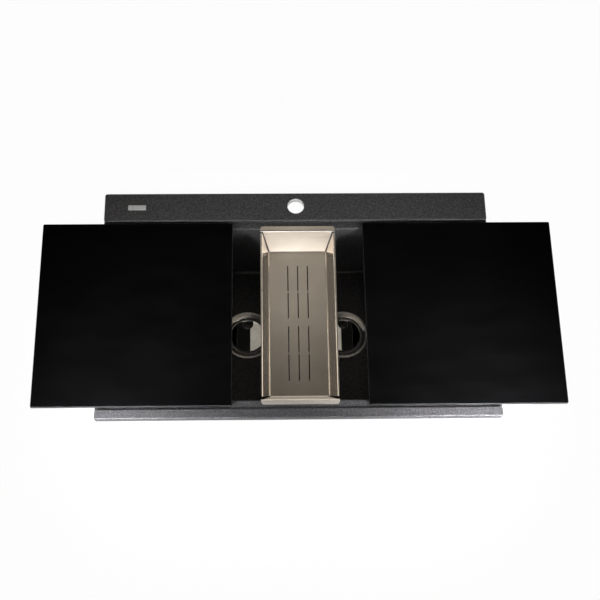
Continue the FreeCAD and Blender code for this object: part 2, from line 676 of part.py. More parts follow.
def colander_tray():
    """One folded sheet: a floor, two end walls with flanges and two side walls with narrow lips."""
    centre = Vector(LOOSE_SET_SHIFT, CHANNEL_Y, 0)
    top = LEDGE_Z + TRAY_SHEET / 2
    floor = LEDGE_Z + TRAY_SHEET - TRAY_DEPTH - TRAY_SHEET / 2
    half_length = TRAY_LENGTH / 2
    wall_y = half_length - TRAY_FLANGE
    floor_y = wall_y - TRAY_END_INSET
    half_width = TRAY_WIDTH / 2
    wall_x = half_width - TRAY_SIDE_LIP
    floor_x = wall_x - TRAY_SIDE_INSET

    end_line = [(half_length, top), (wall_y, top), (floor_y, floor)]
    end_line = [(-y, z) for y, z in end_line] + list(reversed(end_line))
    end_points = [centre + Vector(-half_width, y, z) for y, z in end_line]
    end_strip = bent_sheet(end_points, TRAY_SHEET, TRAY_BEND, RIGHT).extrude(RIGHT * TRAY_WIDTH)
    side_line = [(half_width, top), (wall_x, top), (floor_x, floor)]
    side_line = [(-x, z) for x, z in side_line] + list(reversed(side_line))
    side_points = [centre + Vector(x, -half_length, z) for x, z in side_line]
    side_strip = bent_sheet(side_points, TRAY_SHEET, TRAY_BEND, BACK).extrude(BACK * TRAY_LENGTH)

    fold = TRAY_BEND + TRAY_SHEET
    below = floor - fold
    above = top + fold
    flange_foot = LEDGE_Z - TRAY_SHEET / 2
    end_limit = [
        (floor_x - fold, below), (wall_x - TRAY_SEAM - TRAY_SHEET, flange_foot), (half_width, flange_foot),
        (half_width, above),
    ]
    end_limit = end_limit + [(-x, z) for x, z in reversed(end_limit)]
    points = [centre + Vector(x, -half_length, z) for x, z in end_limit]
    end_room = Part.Face(Part.makePolygon(points + points[:1])).extrude(BACK * TRAY_LENGTH)
    side_limit = [(floor_y - fold, below), (wall_y - TRAY_SEAM - fold, above)]
    side_limit = side_limit + [(-y, z) for y, z in reversed(side_limit)]
    points = [centre + Vector(-half_width, y, z) for y, z in side_limit]
    side_room = Part.Face(Part.makePolygon(points + points[:1])).extrude(RIGHT * TRAY_WIDTH)

    flanged = end_strip.common(end_room)
    corners = edges_where(flanged, lambda p: near(abs(p.x - centre.x), half_width)
                          and near(abs(p.y - centre.y), half_length))
    flanged = flanged.makeFillet(TRAY_FLANGE_CORNER, corners)
    tray = merged([flanged, side_strip.common(side_room)])
    return tray.cut(tray_slots(centre.x, floor - TRAY_SHEET / 2))


def waste_flange(side):
    """A dished ring in the bowl's floor and the cup below it, in one pressing."""
    centre = drain_centre(side)
    half = FLANGE_SHEET / 2
    line = [
        (FLANGE_RADIUS, BOWL_FLOOR_Z - half),
        (FLANGE_RADIUS - FLANGE_FLAT, BOWL_FLOOR_Z - half),
        (CUP_RADIUS, BOWL_FLOOR_Z - half - FLANGE_DISH),
        (CUP_RADIUS - CUP_TAPER, CUP_FLOOR_Z - half),
        (OUTLET_BORE, CUP_FLOOR_Z - half),
    ]
    points = [centre + Vector(radius, 0, z) for radius, z in line]
    pressing = bent_sheet(points, FLANGE_SHEET, FLANGE_BEND, BACK).revolve(centre, UP, 360)
    holes = []
    for place in around(centre, WASTE_SCREW_CIRCLE, WASTE_SCREW_COUNT, math.pi / 2):
        foot = place + UP * (CUP_UNDER_Z - half)
        holes.append(rod(WASTE_SCREW_RADIUS + SCREW_CLEARANCE, foot, UP, 2 * FLANGE_SHEET))
    return pressing.cut(holes)


def flange_seal(side):
    inner = FLANGE_RADIUS - FLANGE_FLAT + FLANGE_SHEET
    top = RECESS_FLOOR_Z + FLANGE_SEAL_THICKNESS
    return ring(inner, FLANGE_RADIUS, drain_centre(side), RECESS_FLOOR_Z, top)


def body_seal(side):
    outer = DRAIN_HOLE + BODY_SEAL_WIDTH
    return ring(DRAIN_HOLE, outer, drain_centre(side), BODY_TOP_Z, BOWL_UNDER_Z)


def overflow_direction(side):
    """The level way from a waste to the foot of its overflow pipe."""
    foot = Vector(side * OVERFLOW_FROM_MIDDLE, OVERFLOW_PIPE_Y, 0)
    return (foot - drain_centre(side)).normalize()


def waste_body(side):
    """The plastic housing under a bowl, with screw posts, an overflow inlet and a threaded outlet."""
    centre = drain_centre(side)
    under = SUMP_Z - BODY_FLOOR
    flange = DRAIN_HOLE + BODY_FLANGE_WIDTH
    flange_z = BODY_TOP_Z - BODY_FLANGE_THICKNESS
    shell = turned([
        (BODY_BORE, BODY_TOP_Z), (flange, BODY_TOP_Z), (flange, flange_z), (BODY_RADIUS, flange_z),
        (BODY_RADIUS, under), (OUTLET_RADIUS, under), (OUTLET_RADIUS, OUTLET_END_Z),
        (OUTLET_BORE, OUTLET_END_Z), (OUTLET_BORE, SUMP_Z), (BODY_BORE, SUMP_Z),
    ], centre)
    out = overflow_direction(side)
    inlet = centre + UP * INLET_Z + out * (BODY_BORE + BODY_WALL / 2)
    pieces = [shell, rod(SPIGOT_RADIUS, inlet, out, BODY_WALL / 2 + SPIGOT_LENGTH)]
    holes = [rod(SPIGOT_RADIUS - SPIGOT_WALL, inlet - out * BODY_WALL, out, 2 * BODY_WALL + SPIGOT_LENGTH)]
    for place in around(centre, WASTE_SCREW_CIRCLE, WASTE_SCREW_COUNT, math.pi / 2):
        foot = place + UP * (SUMP_Z - BODY_FLOOR / 2)
        pieces.append(rod(WASTE_BOSS_RADIUS, foot, UP, CUP_UNDER_Z - foot.z))
        thread = place + UP * (CUP_FLOOR_Z - WASTE_SCREW_LENGTH - SCREW_CLEARANCE)
        depth = WASTE_SCREW_LENGTH + SCREW_CLEARANCE
        holes.append(rod(WASTE_SCREW_RADIUS + SCREW_CLEARANCE, thread, UP, depth))
    return merged(pieces).cut(holes)


def waste_screws(side):
    screws = []
    for place in around(drain_centre(side), WASTE_SCREW_CIRCLE, WASTE_SCREW_COUNT, math.pi / 2):
        screws.append(headed_screw(
            place + UP * CUP_FLOOR_Z, UP * -1, WASTE_SCREW_RADIUS, WASTE_SCREW_LENGTH,
            WASTE_SCREW_HEAD_RADIUS, WASTE_SCREW_HEAD,
        ))
    return Part.makeCompound(screws)


def basket_floor_z():
    return LID_UNDER_Z - BASKET_UNDER_LID - BASKET_DEPTH


def strainer_basket(side):
    """A slotted cup with a turned-out rim, and a stem up to the lid and down to the plug."""
    centre = drain_centre(side)
    rim = CUP_RADIUS - FLANGE_SHEET / 2 - BASKET_RIM_GAP
    rim_z = LID_UNDER_Z - BASKET_UNDER_LID
    floor_z = basket_floor_z()
    wall = rim - BASKET_RIM_WIDTH
    foot = wall - BASKET_TAPER
    line = [(rim, rim_z), (wall, rim_z), (foot, floor_z), (STEM_RADIUS / 2, floor_z)]
    points = [centre + Vector(radius, 0, z) for radius, z in line]
    cup = bent_sheet(points, BASKET_SHEET, BASKET_BEND, BACK).revolve(centre, UP, 360)
    sill = floor_z + WALL_SLOT_ABOVE_FLOOR
    slots = radial_slots(
        centre, WALL_SLOT_COUNT, foot - BASKET_TAPER, wall + BASKET_TAPER, sill, sill + WALL_SLOT_HEIGHT,
    )
    slots += radial_slots(
        centre, FLOOR_SLOT_COUNT, FLOOR_SLOT_START, FLOOR_SLOT_START + FLOOR_SLOT_LENGTH,
        floor_z - BASKET_SHEET, floor_z + BASKET_SHEET,
    )
    plug_top = CUP_FLOOR_Z + PLUG_THICKNESS
    stem = rod(STEM_RADIUS, centre + UP * plug_top, UP, LID_UNDER_Z - plug_top)
    return merged([cup.cut(slots), stem])


def radial_slots(centre, count, inner, outer, z0, z1):
    """Cutters of a basket's slots, evenly turned about its stem."""
    slots = []
    half = BASKET_SLOT_WIDTH / 2
    for index in range(count):
        slot = block(inner, outer, -half, half, z0, z1)
        slot.rotate(Vector(0, 0, 0), UP, 360.0 * index / count)
        slot.translate(centre)
        slots.append(slot)
    return slots


def basket_lid(side):
    """A flat disc with a round-ended finger notch at the rear."""
    centre = drain_centre(side)
    disc = rod(LID_RADIUS, centre + UP * LID_UNDER_Z, UP, LID_THICKNESS)
    half = NOTCH_WIDTH / 2
    notch_y = NOTCH_FROM_CENTRE + half
    round_end = rod(half, centre + Vector(0, notch_y, LID_UNDER_Z), UP, LID_THICKNESS)
    mouth = block(
        centre.x - half, centre.x + half, centre.y + notch_y, centre.y + 2 * LID_RADIUS,
        LID_UNDER_Z, LID_TOP_Z,
    )
    lid = disc.cut(merged([round_end, mouth])).removeSplitter()
    return lid.makeFillet(LID_EDGE_RADIUS, edges_where(lid, lambda p: near(p.z, LID_TOP_Z)))


def basket_plug(side):
    """The rubber disc that closes the cup's outlet."""
    disc = rod(PLUG_RADIUS, drain_centre(side) + UP * CUP_FLOOR_Z, UP, PLUG_THICKNESS)
    top = CUP_FLOOR_Z + PLUG_THICKNESS
    upper = [edge for edge in disc.Edges if edge.Closed and near(edge.Vertexes[0].Z, top)]
    return disc.makeFillet(PLUG_EDGE_RADIUS, upper)


def overflow_middle(side, y):
    return Vector(side * OVERFLOW_FROM_MIDDLE, y, OVERFLOW_Z)


def overflow_plate(side):
    """A round steel plate in the rear wall, with a ring of holes."""
    front = OVERFLOW_INNER_Y - OVERFLOW_PLATE_THICKNESS
    middle = overflow_middle(side, front)
    plate = rod(OVERFLOW_PLATE_RADIUS, middle, BACK, OVERFLOW_PLATE_THICKNESS)
    holes = [rod(OVERFLOW_SCREW_RADIUS + SCREW_CLEARANCE, middle, BACK, OVERFLOW_PLATE_THICKNESS)]
    for index in range(OVERFLOW_SLOT_COUNT):
        angle = 2 * math.pi * index / OVERFLOW_SLOT_COUNT
        shift = Vector(math.cos(angle), 0, math.sin(angle)) * OVERFLOW_SLOT_CIRCLE
        holes.append(rod(OVERFLOW_SLOT_RADIUS, middle + shift, BACK, OVERFLOW_PLATE_THICKNESS))
    return plate.cut(holes)


def overflow_screw(side):
    front = OVERFLOW_INNER_Y - OVERFLOW_PLATE_THICKNESS
    length = OVERFLOW_FLANGE_Y - front + OVERFLOW_SCREW_GRIP
    return headed_screw(
        overflow_middle(side, front), BACK, OVERFLOW_SCREW_RADIUS, length,
        OVERFLOW_SCREW_HEAD_RADIUS, OVERFLOW_SCREW_HEAD,
    )


def overflow_seal(side):
    middle = overflow_middle(side, OVERFLOW_OUTER_Y)
    outer = rod(OVERFLOW_PLATE_RADIUS, middle, BACK, OVERFLOW_SEAL_THICKNESS)
    return outer.cut(rod(OVERFLOW_PLATE_RADIUS - OVERFLOW_SEAL_WIDTH, middle, BACK, OVERFLOW_SEAL_THICKNESS))


def overflow_elbow(side):
    """The plastic chamber behind the rear wall, with a screw post and a spigot that points down."""
    middle = overflow_middle(side, OVERFLOW_FLANGE_Y)
    chamber = OVERFLOW_PLATE_RADIUS - OVERFLOW_SEAL_WIDTH
    depth = OVERFLOW_FLANGE + OVERFLOW_CHAMBER
    flange = rod(OVERFLOW_PLATE_RADIUS, middle, BACK, OVERFLOW_FLANGE)
    can = rod(chamber + OVERFLOW_WALL, middle, BACK, depth)
    axis = Vector(middle.x, OVERFLOW_PIPE_Y, OVERFLOW_Z)
    drop = chamber + OVERFLOW_WALL + SPIGOT_LENGTH
    spigot = rod(SPIGOT_RADIUS, axis, UP * -1, drop)
    body = merged([flange, can, spigot])
    body = body.cut([
        rod(chamber, middle, BACK, depth - OVERFLOW_WALL),
        rod(SPIGOT_RADIUS - SPIGOT_WALL, axis, UP * -1, drop),
    ])
    post = rod(OVERFLOW_POST_RADIUS, middle, BACK, depth - OVERFLOW_WALL / 2)
    bore = rod(OVERFLOW_SCREW_RADIUS + SCREW_CLEARANCE, middle, BACK, OVERFLOW_SCREW_GRIP + SCREW_CLEARANCE)
    return merged([body, post]).cut(bore)


def overflow_pipe(side):
    """A moulded pipe from the overflow's spigot down and across to the waste's inlet."""
    out = overflow_direction(side)
    chamber = OVERFLOW_PLATE_RADIUS - OVERFLOW_SEAL_WIDTH + OVERFLOW_WALL
    top_z = OVERFLOW_Z - chamber - SPIGOT_LENGTH + PIPE_OVERLAP
    corner = Vector(side * OVERFLOW_FROM_MIDDLE, OVERFLOW_PIPE_Y, INLET_Z)
    inlet_end = drain_centre(side) + UP * INLET_Z + out * (BODY_RADIUS + SPIGOT_LENGTH - PIPE_OVERLAP)
    bore = SPIGOT_RADIUS + PIPE_CLEARANCE
    route = [Vector(corner.x, corner.y, top_z), corner, inlet_end]
    return tube(route, PIPE_BEND, bore + PIPE_WALL, PIPE_WALL)


def nut(centre, axis, thread_radius, shoulder_at, bore):
    """A ribbed union nut: its thread runs back from the shoulder towards the joint."""
    inner = thread_radius + THREAD_CLEARANCE
    outer = inner + NUT_WALL
    length = shoulder_at + NUT_SHOULDER
    ribs = []
    turn = FreeCAD.Rotation(UP, axis)
    for index in range(NUT_RIB_COUNT):
        half = NUT_RIB_WIDTH / 2
        rib = block(inner + NUT_WALL / 2, outer + NUT_RIB, -half, half, 0, length)
        spin = FreeCAD.Rotation(UP, 360.0 * index / NUT_RIB_COUNT)
        rib.Placement = FreeCAD.Placement(centre, turn.multiply(spin))
        ribs.append(rib)
    solid = merged([rod(outer, centre, axis, length)] + ribs)
    return solid.cut([rod(inner, centre, axis, shoulder_at), rod(bore, centre, axis, length)])


def outlet_nut(side):
    start = drain_centre(side) + UP * (OUTLET_END_Z + NUT_THREAD)
    shoulder = NUT_THREAD + WASHER_THICKNESS + COLLAR_THICKNESS
    return nut(start, UP * -1, OUTLET_RADIUS, shoulder, DRAIN_PIPE_RADIUS + PIPE_FIT)


def outlet_washer(side):
    return ring(OUTLET_BORE, OUTLET_RADIUS - THREAD_CLEARANCE, drain_centre(side), LINK_TOP_Z, OUTLET_END_Z)


def link_elbow(side):
    """The pipe from a waste's outlet round to the tee, with a collar under the nut."""
    centre = drain_centre(side)
    start = centre + UP * LINK_TOP_Z
    corner = centre + UP * LINK_Z
    end = Vector(side * (TEE_HALF_LENGTH - TEE_SOCKET), DRAIN_Y, LINK_Z)
    pipe = tube([start, corner, end], LINK_BEND, DRAIN_PIPE_RADIUS, DRAIN_PIPE_WALL)
    bore = DRAIN_PIPE_RADIUS - DRAIN_PIPE_WALL
    collar = ring(bore, OUTLET_RADIUS - THREAD_CLEARANCE, centre, LINK_TOP_Z - COLLAR_THICKNESS, LINK_TOP_Z)
    return merged([pipe, collar])


def tee_end(side, distance):
    return Vector(side * distance, DRAIN_Y, LINK_Z)


def tee_nut(side):
    start = tee_end(side, TEE_HALF_LENGTH - NUT_THREAD)
    return nut(start, RIGHT * side, TEE_RADIUS, NUT_THREAD + TEE_WASHER, DRAIN_PIPE_RADIUS + PIPE_FIT)


def tee_washer(side):
    start = tee_end(side, TEE_HALF_LENGTH)
    outer = rod(TEE_RADIUS - THREAD_CLEARANCE, start, RIGHT * side, TEE_WASHER)
    return outer.cut(rod(DRAIN_PIPE_RADIUS, start, RIGHT * side, TEE_WASHER))


def drain_tee():
    """The tee that joins both wastes, with one plain outlet that points down."""
    start = tee_end(-1, TEE_HALF_LENGTH)
    middle = tee_end(1, 0)
    run = rod(TEE_RADIUS, start, RIGHT, 2 * TEE_HALF_LENGTH)
    branch = rod(TEE_RADIUS, middle, UP * -1, TEE_RADIUS + TEE_BRANCH)
    drop = TEE_RADIUS + TEE_BRANCH + TEE_OUTLET_LENGTH
    outlet = rod(DRAIN_PIPE_RADIUS, middle, UP * -1, drop)
    bore = DRAIN_PIPE_RADIUS - DRAIN_PIPE_WALL
    holes = [rod(bore, start, RIGHT, 2 * TEE_HALF_LENGTH), rod(bore, middle, UP * -1, drop)]
    for side in (-1, 1):
        inner_end = tee_end(side, TEE_HALF_LENGTH - TEE_SOCKET)
        holes.append(rod(DRAIN_PIPE_RADIUS + PIPE_FIT, inner_end, RIGHT * side, TEE_SOCKET))
    return merged([run, branch, outlet]).cut(holes)


SINGLE_PIECES = (
    sink_basin, tap_deck, badge_plate, rim_seal, fixing_clips, clip_screws, colander_tray, drain_tee,
)
PAIRED_PIECES = (
    chopping_board, board_glides, waste_flange, flange_seal, body_seal, waste_body, waste_screws,
    strainer_basket, basket_lid, basket_plug, overflow_plate, overflow_screw, overflow_seal, overflow_elbow,
    overflow_pipe, outlet_nut, outlet_washer, link_elbow, tee_nut, tee_washer,
)


def main():
    os.makedirs("parts", exist_ok=True)
    for piece in SINGLE_PIECES:
        piece().exportStep("parts/" + piece.__name__ + ".step")
    for side, name in ((-1, "left_"), (1, "right_")):
        for piece in PAIRED_PIECES:
            piece(side).exportStep("parts/" + name + piece.__name__ + ".step")


main()
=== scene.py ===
"""Dresses a double bowl prep sink: finishes, glass boards, screws, pipe threads and a plain studio."""

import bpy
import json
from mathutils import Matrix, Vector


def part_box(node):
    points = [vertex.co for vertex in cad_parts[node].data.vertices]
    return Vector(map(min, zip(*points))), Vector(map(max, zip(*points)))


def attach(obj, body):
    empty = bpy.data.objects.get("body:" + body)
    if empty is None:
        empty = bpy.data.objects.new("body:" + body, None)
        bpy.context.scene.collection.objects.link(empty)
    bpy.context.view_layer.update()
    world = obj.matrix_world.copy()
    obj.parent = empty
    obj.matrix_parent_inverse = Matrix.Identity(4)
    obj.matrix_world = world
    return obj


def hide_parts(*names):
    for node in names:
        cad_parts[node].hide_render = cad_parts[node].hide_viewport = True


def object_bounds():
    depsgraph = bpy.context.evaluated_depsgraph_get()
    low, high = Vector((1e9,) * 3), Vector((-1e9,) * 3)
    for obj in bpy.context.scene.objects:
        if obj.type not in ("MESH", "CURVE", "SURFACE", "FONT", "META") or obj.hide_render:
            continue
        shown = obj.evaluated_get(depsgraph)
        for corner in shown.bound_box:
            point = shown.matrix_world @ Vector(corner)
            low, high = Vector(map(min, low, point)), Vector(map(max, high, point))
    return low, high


bl_info = {
    "name": "Prep Sink Dresser",
    "version": (1, 0, 0),
    "blender": (4, 5, 0),
    "location": "View3D > Sidebar > Prep Sink",
    "description": "Finishes, boards, fasteners and studio for a double bowl prep sink",
    "category": "Object",
}

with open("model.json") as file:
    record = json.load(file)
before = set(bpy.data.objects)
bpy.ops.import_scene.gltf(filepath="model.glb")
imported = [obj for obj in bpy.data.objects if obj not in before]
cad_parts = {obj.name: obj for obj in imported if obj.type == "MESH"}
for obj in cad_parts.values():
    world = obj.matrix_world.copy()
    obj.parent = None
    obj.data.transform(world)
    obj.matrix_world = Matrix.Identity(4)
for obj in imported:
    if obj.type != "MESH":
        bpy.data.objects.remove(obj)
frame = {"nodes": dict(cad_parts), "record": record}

import json
import math

import bmesh
import bpy
from bpy.props import FloatProperty, FloatVectorProperty, IntProperty, PointerProperty
from mathutils import Matrix, Vector

CAD_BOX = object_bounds()
BODY_OF = {node: body for body, nodes in frame["record"]["behaviour"]["bodies"].items() for node in nodes}

# The sink's two sides, with the sign of X on each.
SIDES = {"left": -1.0, "right": 1.0}

# Points closer than this are one.
WELD = 1e-6

# Faces that meet at more than this angle keep a sharp edge.
EDGE_ANGLE = math.radians(32)

# A face is upright where the vertical part of its normal is below this.
UPRIGHT = 0.5

# Most values of a noise lie in this span.
NOISE_SPAN = (0.3, 0.7)

# Ranges of roughness that several pieces share.
RUBBER_SKIN = (0.6, 0.75)
FOAM_SKIN = (0.85, 0.95)
PLASTIC_SKIN = (0.38, 0.5)

# The foam's skin has a finer pattern than other moulded pieces.
FOAM_CELLS = 1600.0

GLASS_IOR = 1.5
COMPOSITE_IOR = 1.5
MOULDED_IOR = 1.48

WHITE = (1.0, 1.0, 1.0)

# The large softboxes point at the middle of the frame.
MIDDLE = (0.0, 0.0, 0.0)

Y_AXIS = 1
Z_AXIS = 2
NO_TURN = (0.0, 0.0, 0.0)
QUARTER_TURN = math.pi / 2
HALF_TURN = math.pi


# Sizes and colours

class FinishSettings(bpy.types.PropertyGroup):
    """Colours and grain of the sink's finishes."""

    composite: FloatVectorProperty(
        name="Composite", description="Body colour of the moulded sink",
        subtype="COLOR", size=3, default=(0.0180, 0.0175, 0.0184))
    composite_grain: FloatVectorProperty(
        name="Grain", description="Colour of the paler quartz grain",
        subtype="COLOR", size=3, default=(0.1050, 0.1010, 0.1075))
    grain_size: FloatProperty(
        name="Grain size", description="Typical width of a quartz grain",
        subtype="DISTANCE", default=0.0011)
    # Painted light: the tap hole's bore wall is painted pale, so the hole reads as a bright disc, like the
    # light seen through it.
    bore_painted_light: FloatVectorProperty(
        name="Drilled wall", description="Colour of the composite where the tap hole is drilled",
        subtype="COLOR", size=3, default=(0.50, 0.49, 0.47))
    badge: FloatVectorProperty(
        name="Badge plate", description="Colour of the satin plate on the tap deck",
        subtype="COLOR", size=3, default=(0.86, 0.86, 0.86))
    foam: FloatVectorProperty(
        name="Foam", description="Colour of the foam seals",
        subtype="COLOR", size=3, default=(0.03, 0.03, 0.03))
    glass: FloatVectorProperty(
        name="Glass", description="Colour of the black glass",
        subtype="COLOR", size=3, default=(0.0013, 0.0013, 0.00135))
    glass_edge: FloatVectorProperty(
        name="Ground edge", description="Colour of the glass's ground edges",
        subtype="COLOR", size=3, default=(0.016, 0.016, 0.0165))
    silicone: FloatVectorProperty(
        name="Glides", description="Colour of the strips that the boards slide on",
        subtype="COLOR", size=3, default=(0.045, 0.045, 0.046))
    steel: FloatVectorProperty(
        name="Tray steel", description="Colour of the brushed tray",
        subtype="COLOR", size=3, default=(0.78, 0.715, 0.635))
    tray_flange: FloatProperty(
        name="Tray flange", description="Width of the tray's coarser front flange",
        subtype="DISTANCE", default=0.010)
    # Painted shade: the walls of the tray's slots are painted dark, for the shade that falls inside them.
    slot_painted_shade: FloatVectorProperty(
        name="Cut edge", description="Colour of the steel where the tray's slots are cut",
        subtype="COLOR", size=3, default=(0.10, 0.09, 0.08))
    bright_steel: FloatVectorProperty(
        name="Bright steel", description="Colour of the polished wastes",
        subtype="COLOR", size=3, default=(0.77, 0.755, 0.72))
    basket_steel: FloatVectorProperty(
        name="Basket steel", description="Colour of the pressed strainer baskets",
        subtype="COLOR", size=3, default=(0.52, 0.51, 0.49))
    plastic: FloatVectorProperty(
        name="Waste plastic", description="Colour of the moulded waste bodies and overflows",
        subtype="COLOR", size=3, default=(0.58, 0.58, 0.57))
    pipe: FloatVectorProperty(
        name="Pipe plastic", description="Colour of the drain pipes",
        subtype="COLOR", size=3, default=(0.72, 0.72, 0.70))
    nut: FloatVectorProperty(
        name="Nut plastic", description="Colour of the union nuts",
        subtype="COLOR", size=3, default=(0.50, 0.50, 0.50))
    rubber: FloatVectorProperty(
        name="Rubber", description="Colour of rubber seals, washers and plugs",
        subtype="COLOR", size=3, default=(0.016, 0.016, 0.016))
    zinc: FloatVectorProperty(
        name="Zinc", description="Colour of the plated worktop clamps",
        subtype="COLOR", size=3, default=(0.58, 0.57, 0.53))
    screw_steel: FloatVectorProperty(
        name="Screw steel", description="Colour of the screws",
        subtype="COLOR", size=3, default=(0.60, 0.59, 0.56))


class BoardSettings(bpy.types.PropertyGroup):
    """Edges of the glass boards."""

    corner_radius: FloatProperty(
        name="Corner radius", description="Radius of a board's corners in plan",
        subtype="DISTANCE", default=0.003)
    arris: FloatProperty(
        name="Arris", description="Width of the ground bevel round each face",
        subtype="DISTANCE", default=0.0008)
    corner_steps: IntProperty(
        name="Corner steps", description="Faces round each corner", default=8)


class FastenerSettings(bpy.types.PropertyGroup):
    """Screws and pipe threads."""

    thread_pitch: FloatProperty(
        name="Screw pitch", description="Distance between turns of a screw thread",
        subtype="DISTANCE", default=0.0014)
    recess_width: FloatProperty(
        name="Recess width", description="Width of the cross recess in a screw head",
        subtype="DISTANCE", default=0.0011)
    clip_head: FloatProperty(
        name="Clamp screw head", description="Height of a clamp screw's head",
        subtype="DISTANCE", default=0.003)
    waste_head: FloatProperty(
        name="Waste screw head", description="Height of a waste screw's head",
        subtype="DISTANCE", default=0.0022)
    overflow_head: FloatProperty(
        name="Overflow screw head", description="Height of an overflow screw's head",
        subtype="DISTANCE", default=0.0024)
    shank_radius: FloatProperty(
        name="Shank radius", description="Radius over a screw's thread",
        subtype="DISTANCE", default=0.002)
    pipe_pitch: FloatProperty(
        name="Pipe thread pitch", description="Distance between turns of a pipe thread",
        subtype="DISTANCE", default=0.004)
    pipe_turns: FloatProperty(
        name="Pipe thread turns", description="Turns of a pipe thread that show past its nut",
        default=1.75)
    pipe_ridge: FloatProperty(
        name="Pipe thread height", description="Height of a pipe thread's ridge",
        subtype="DISTANCE", default=0.0009)


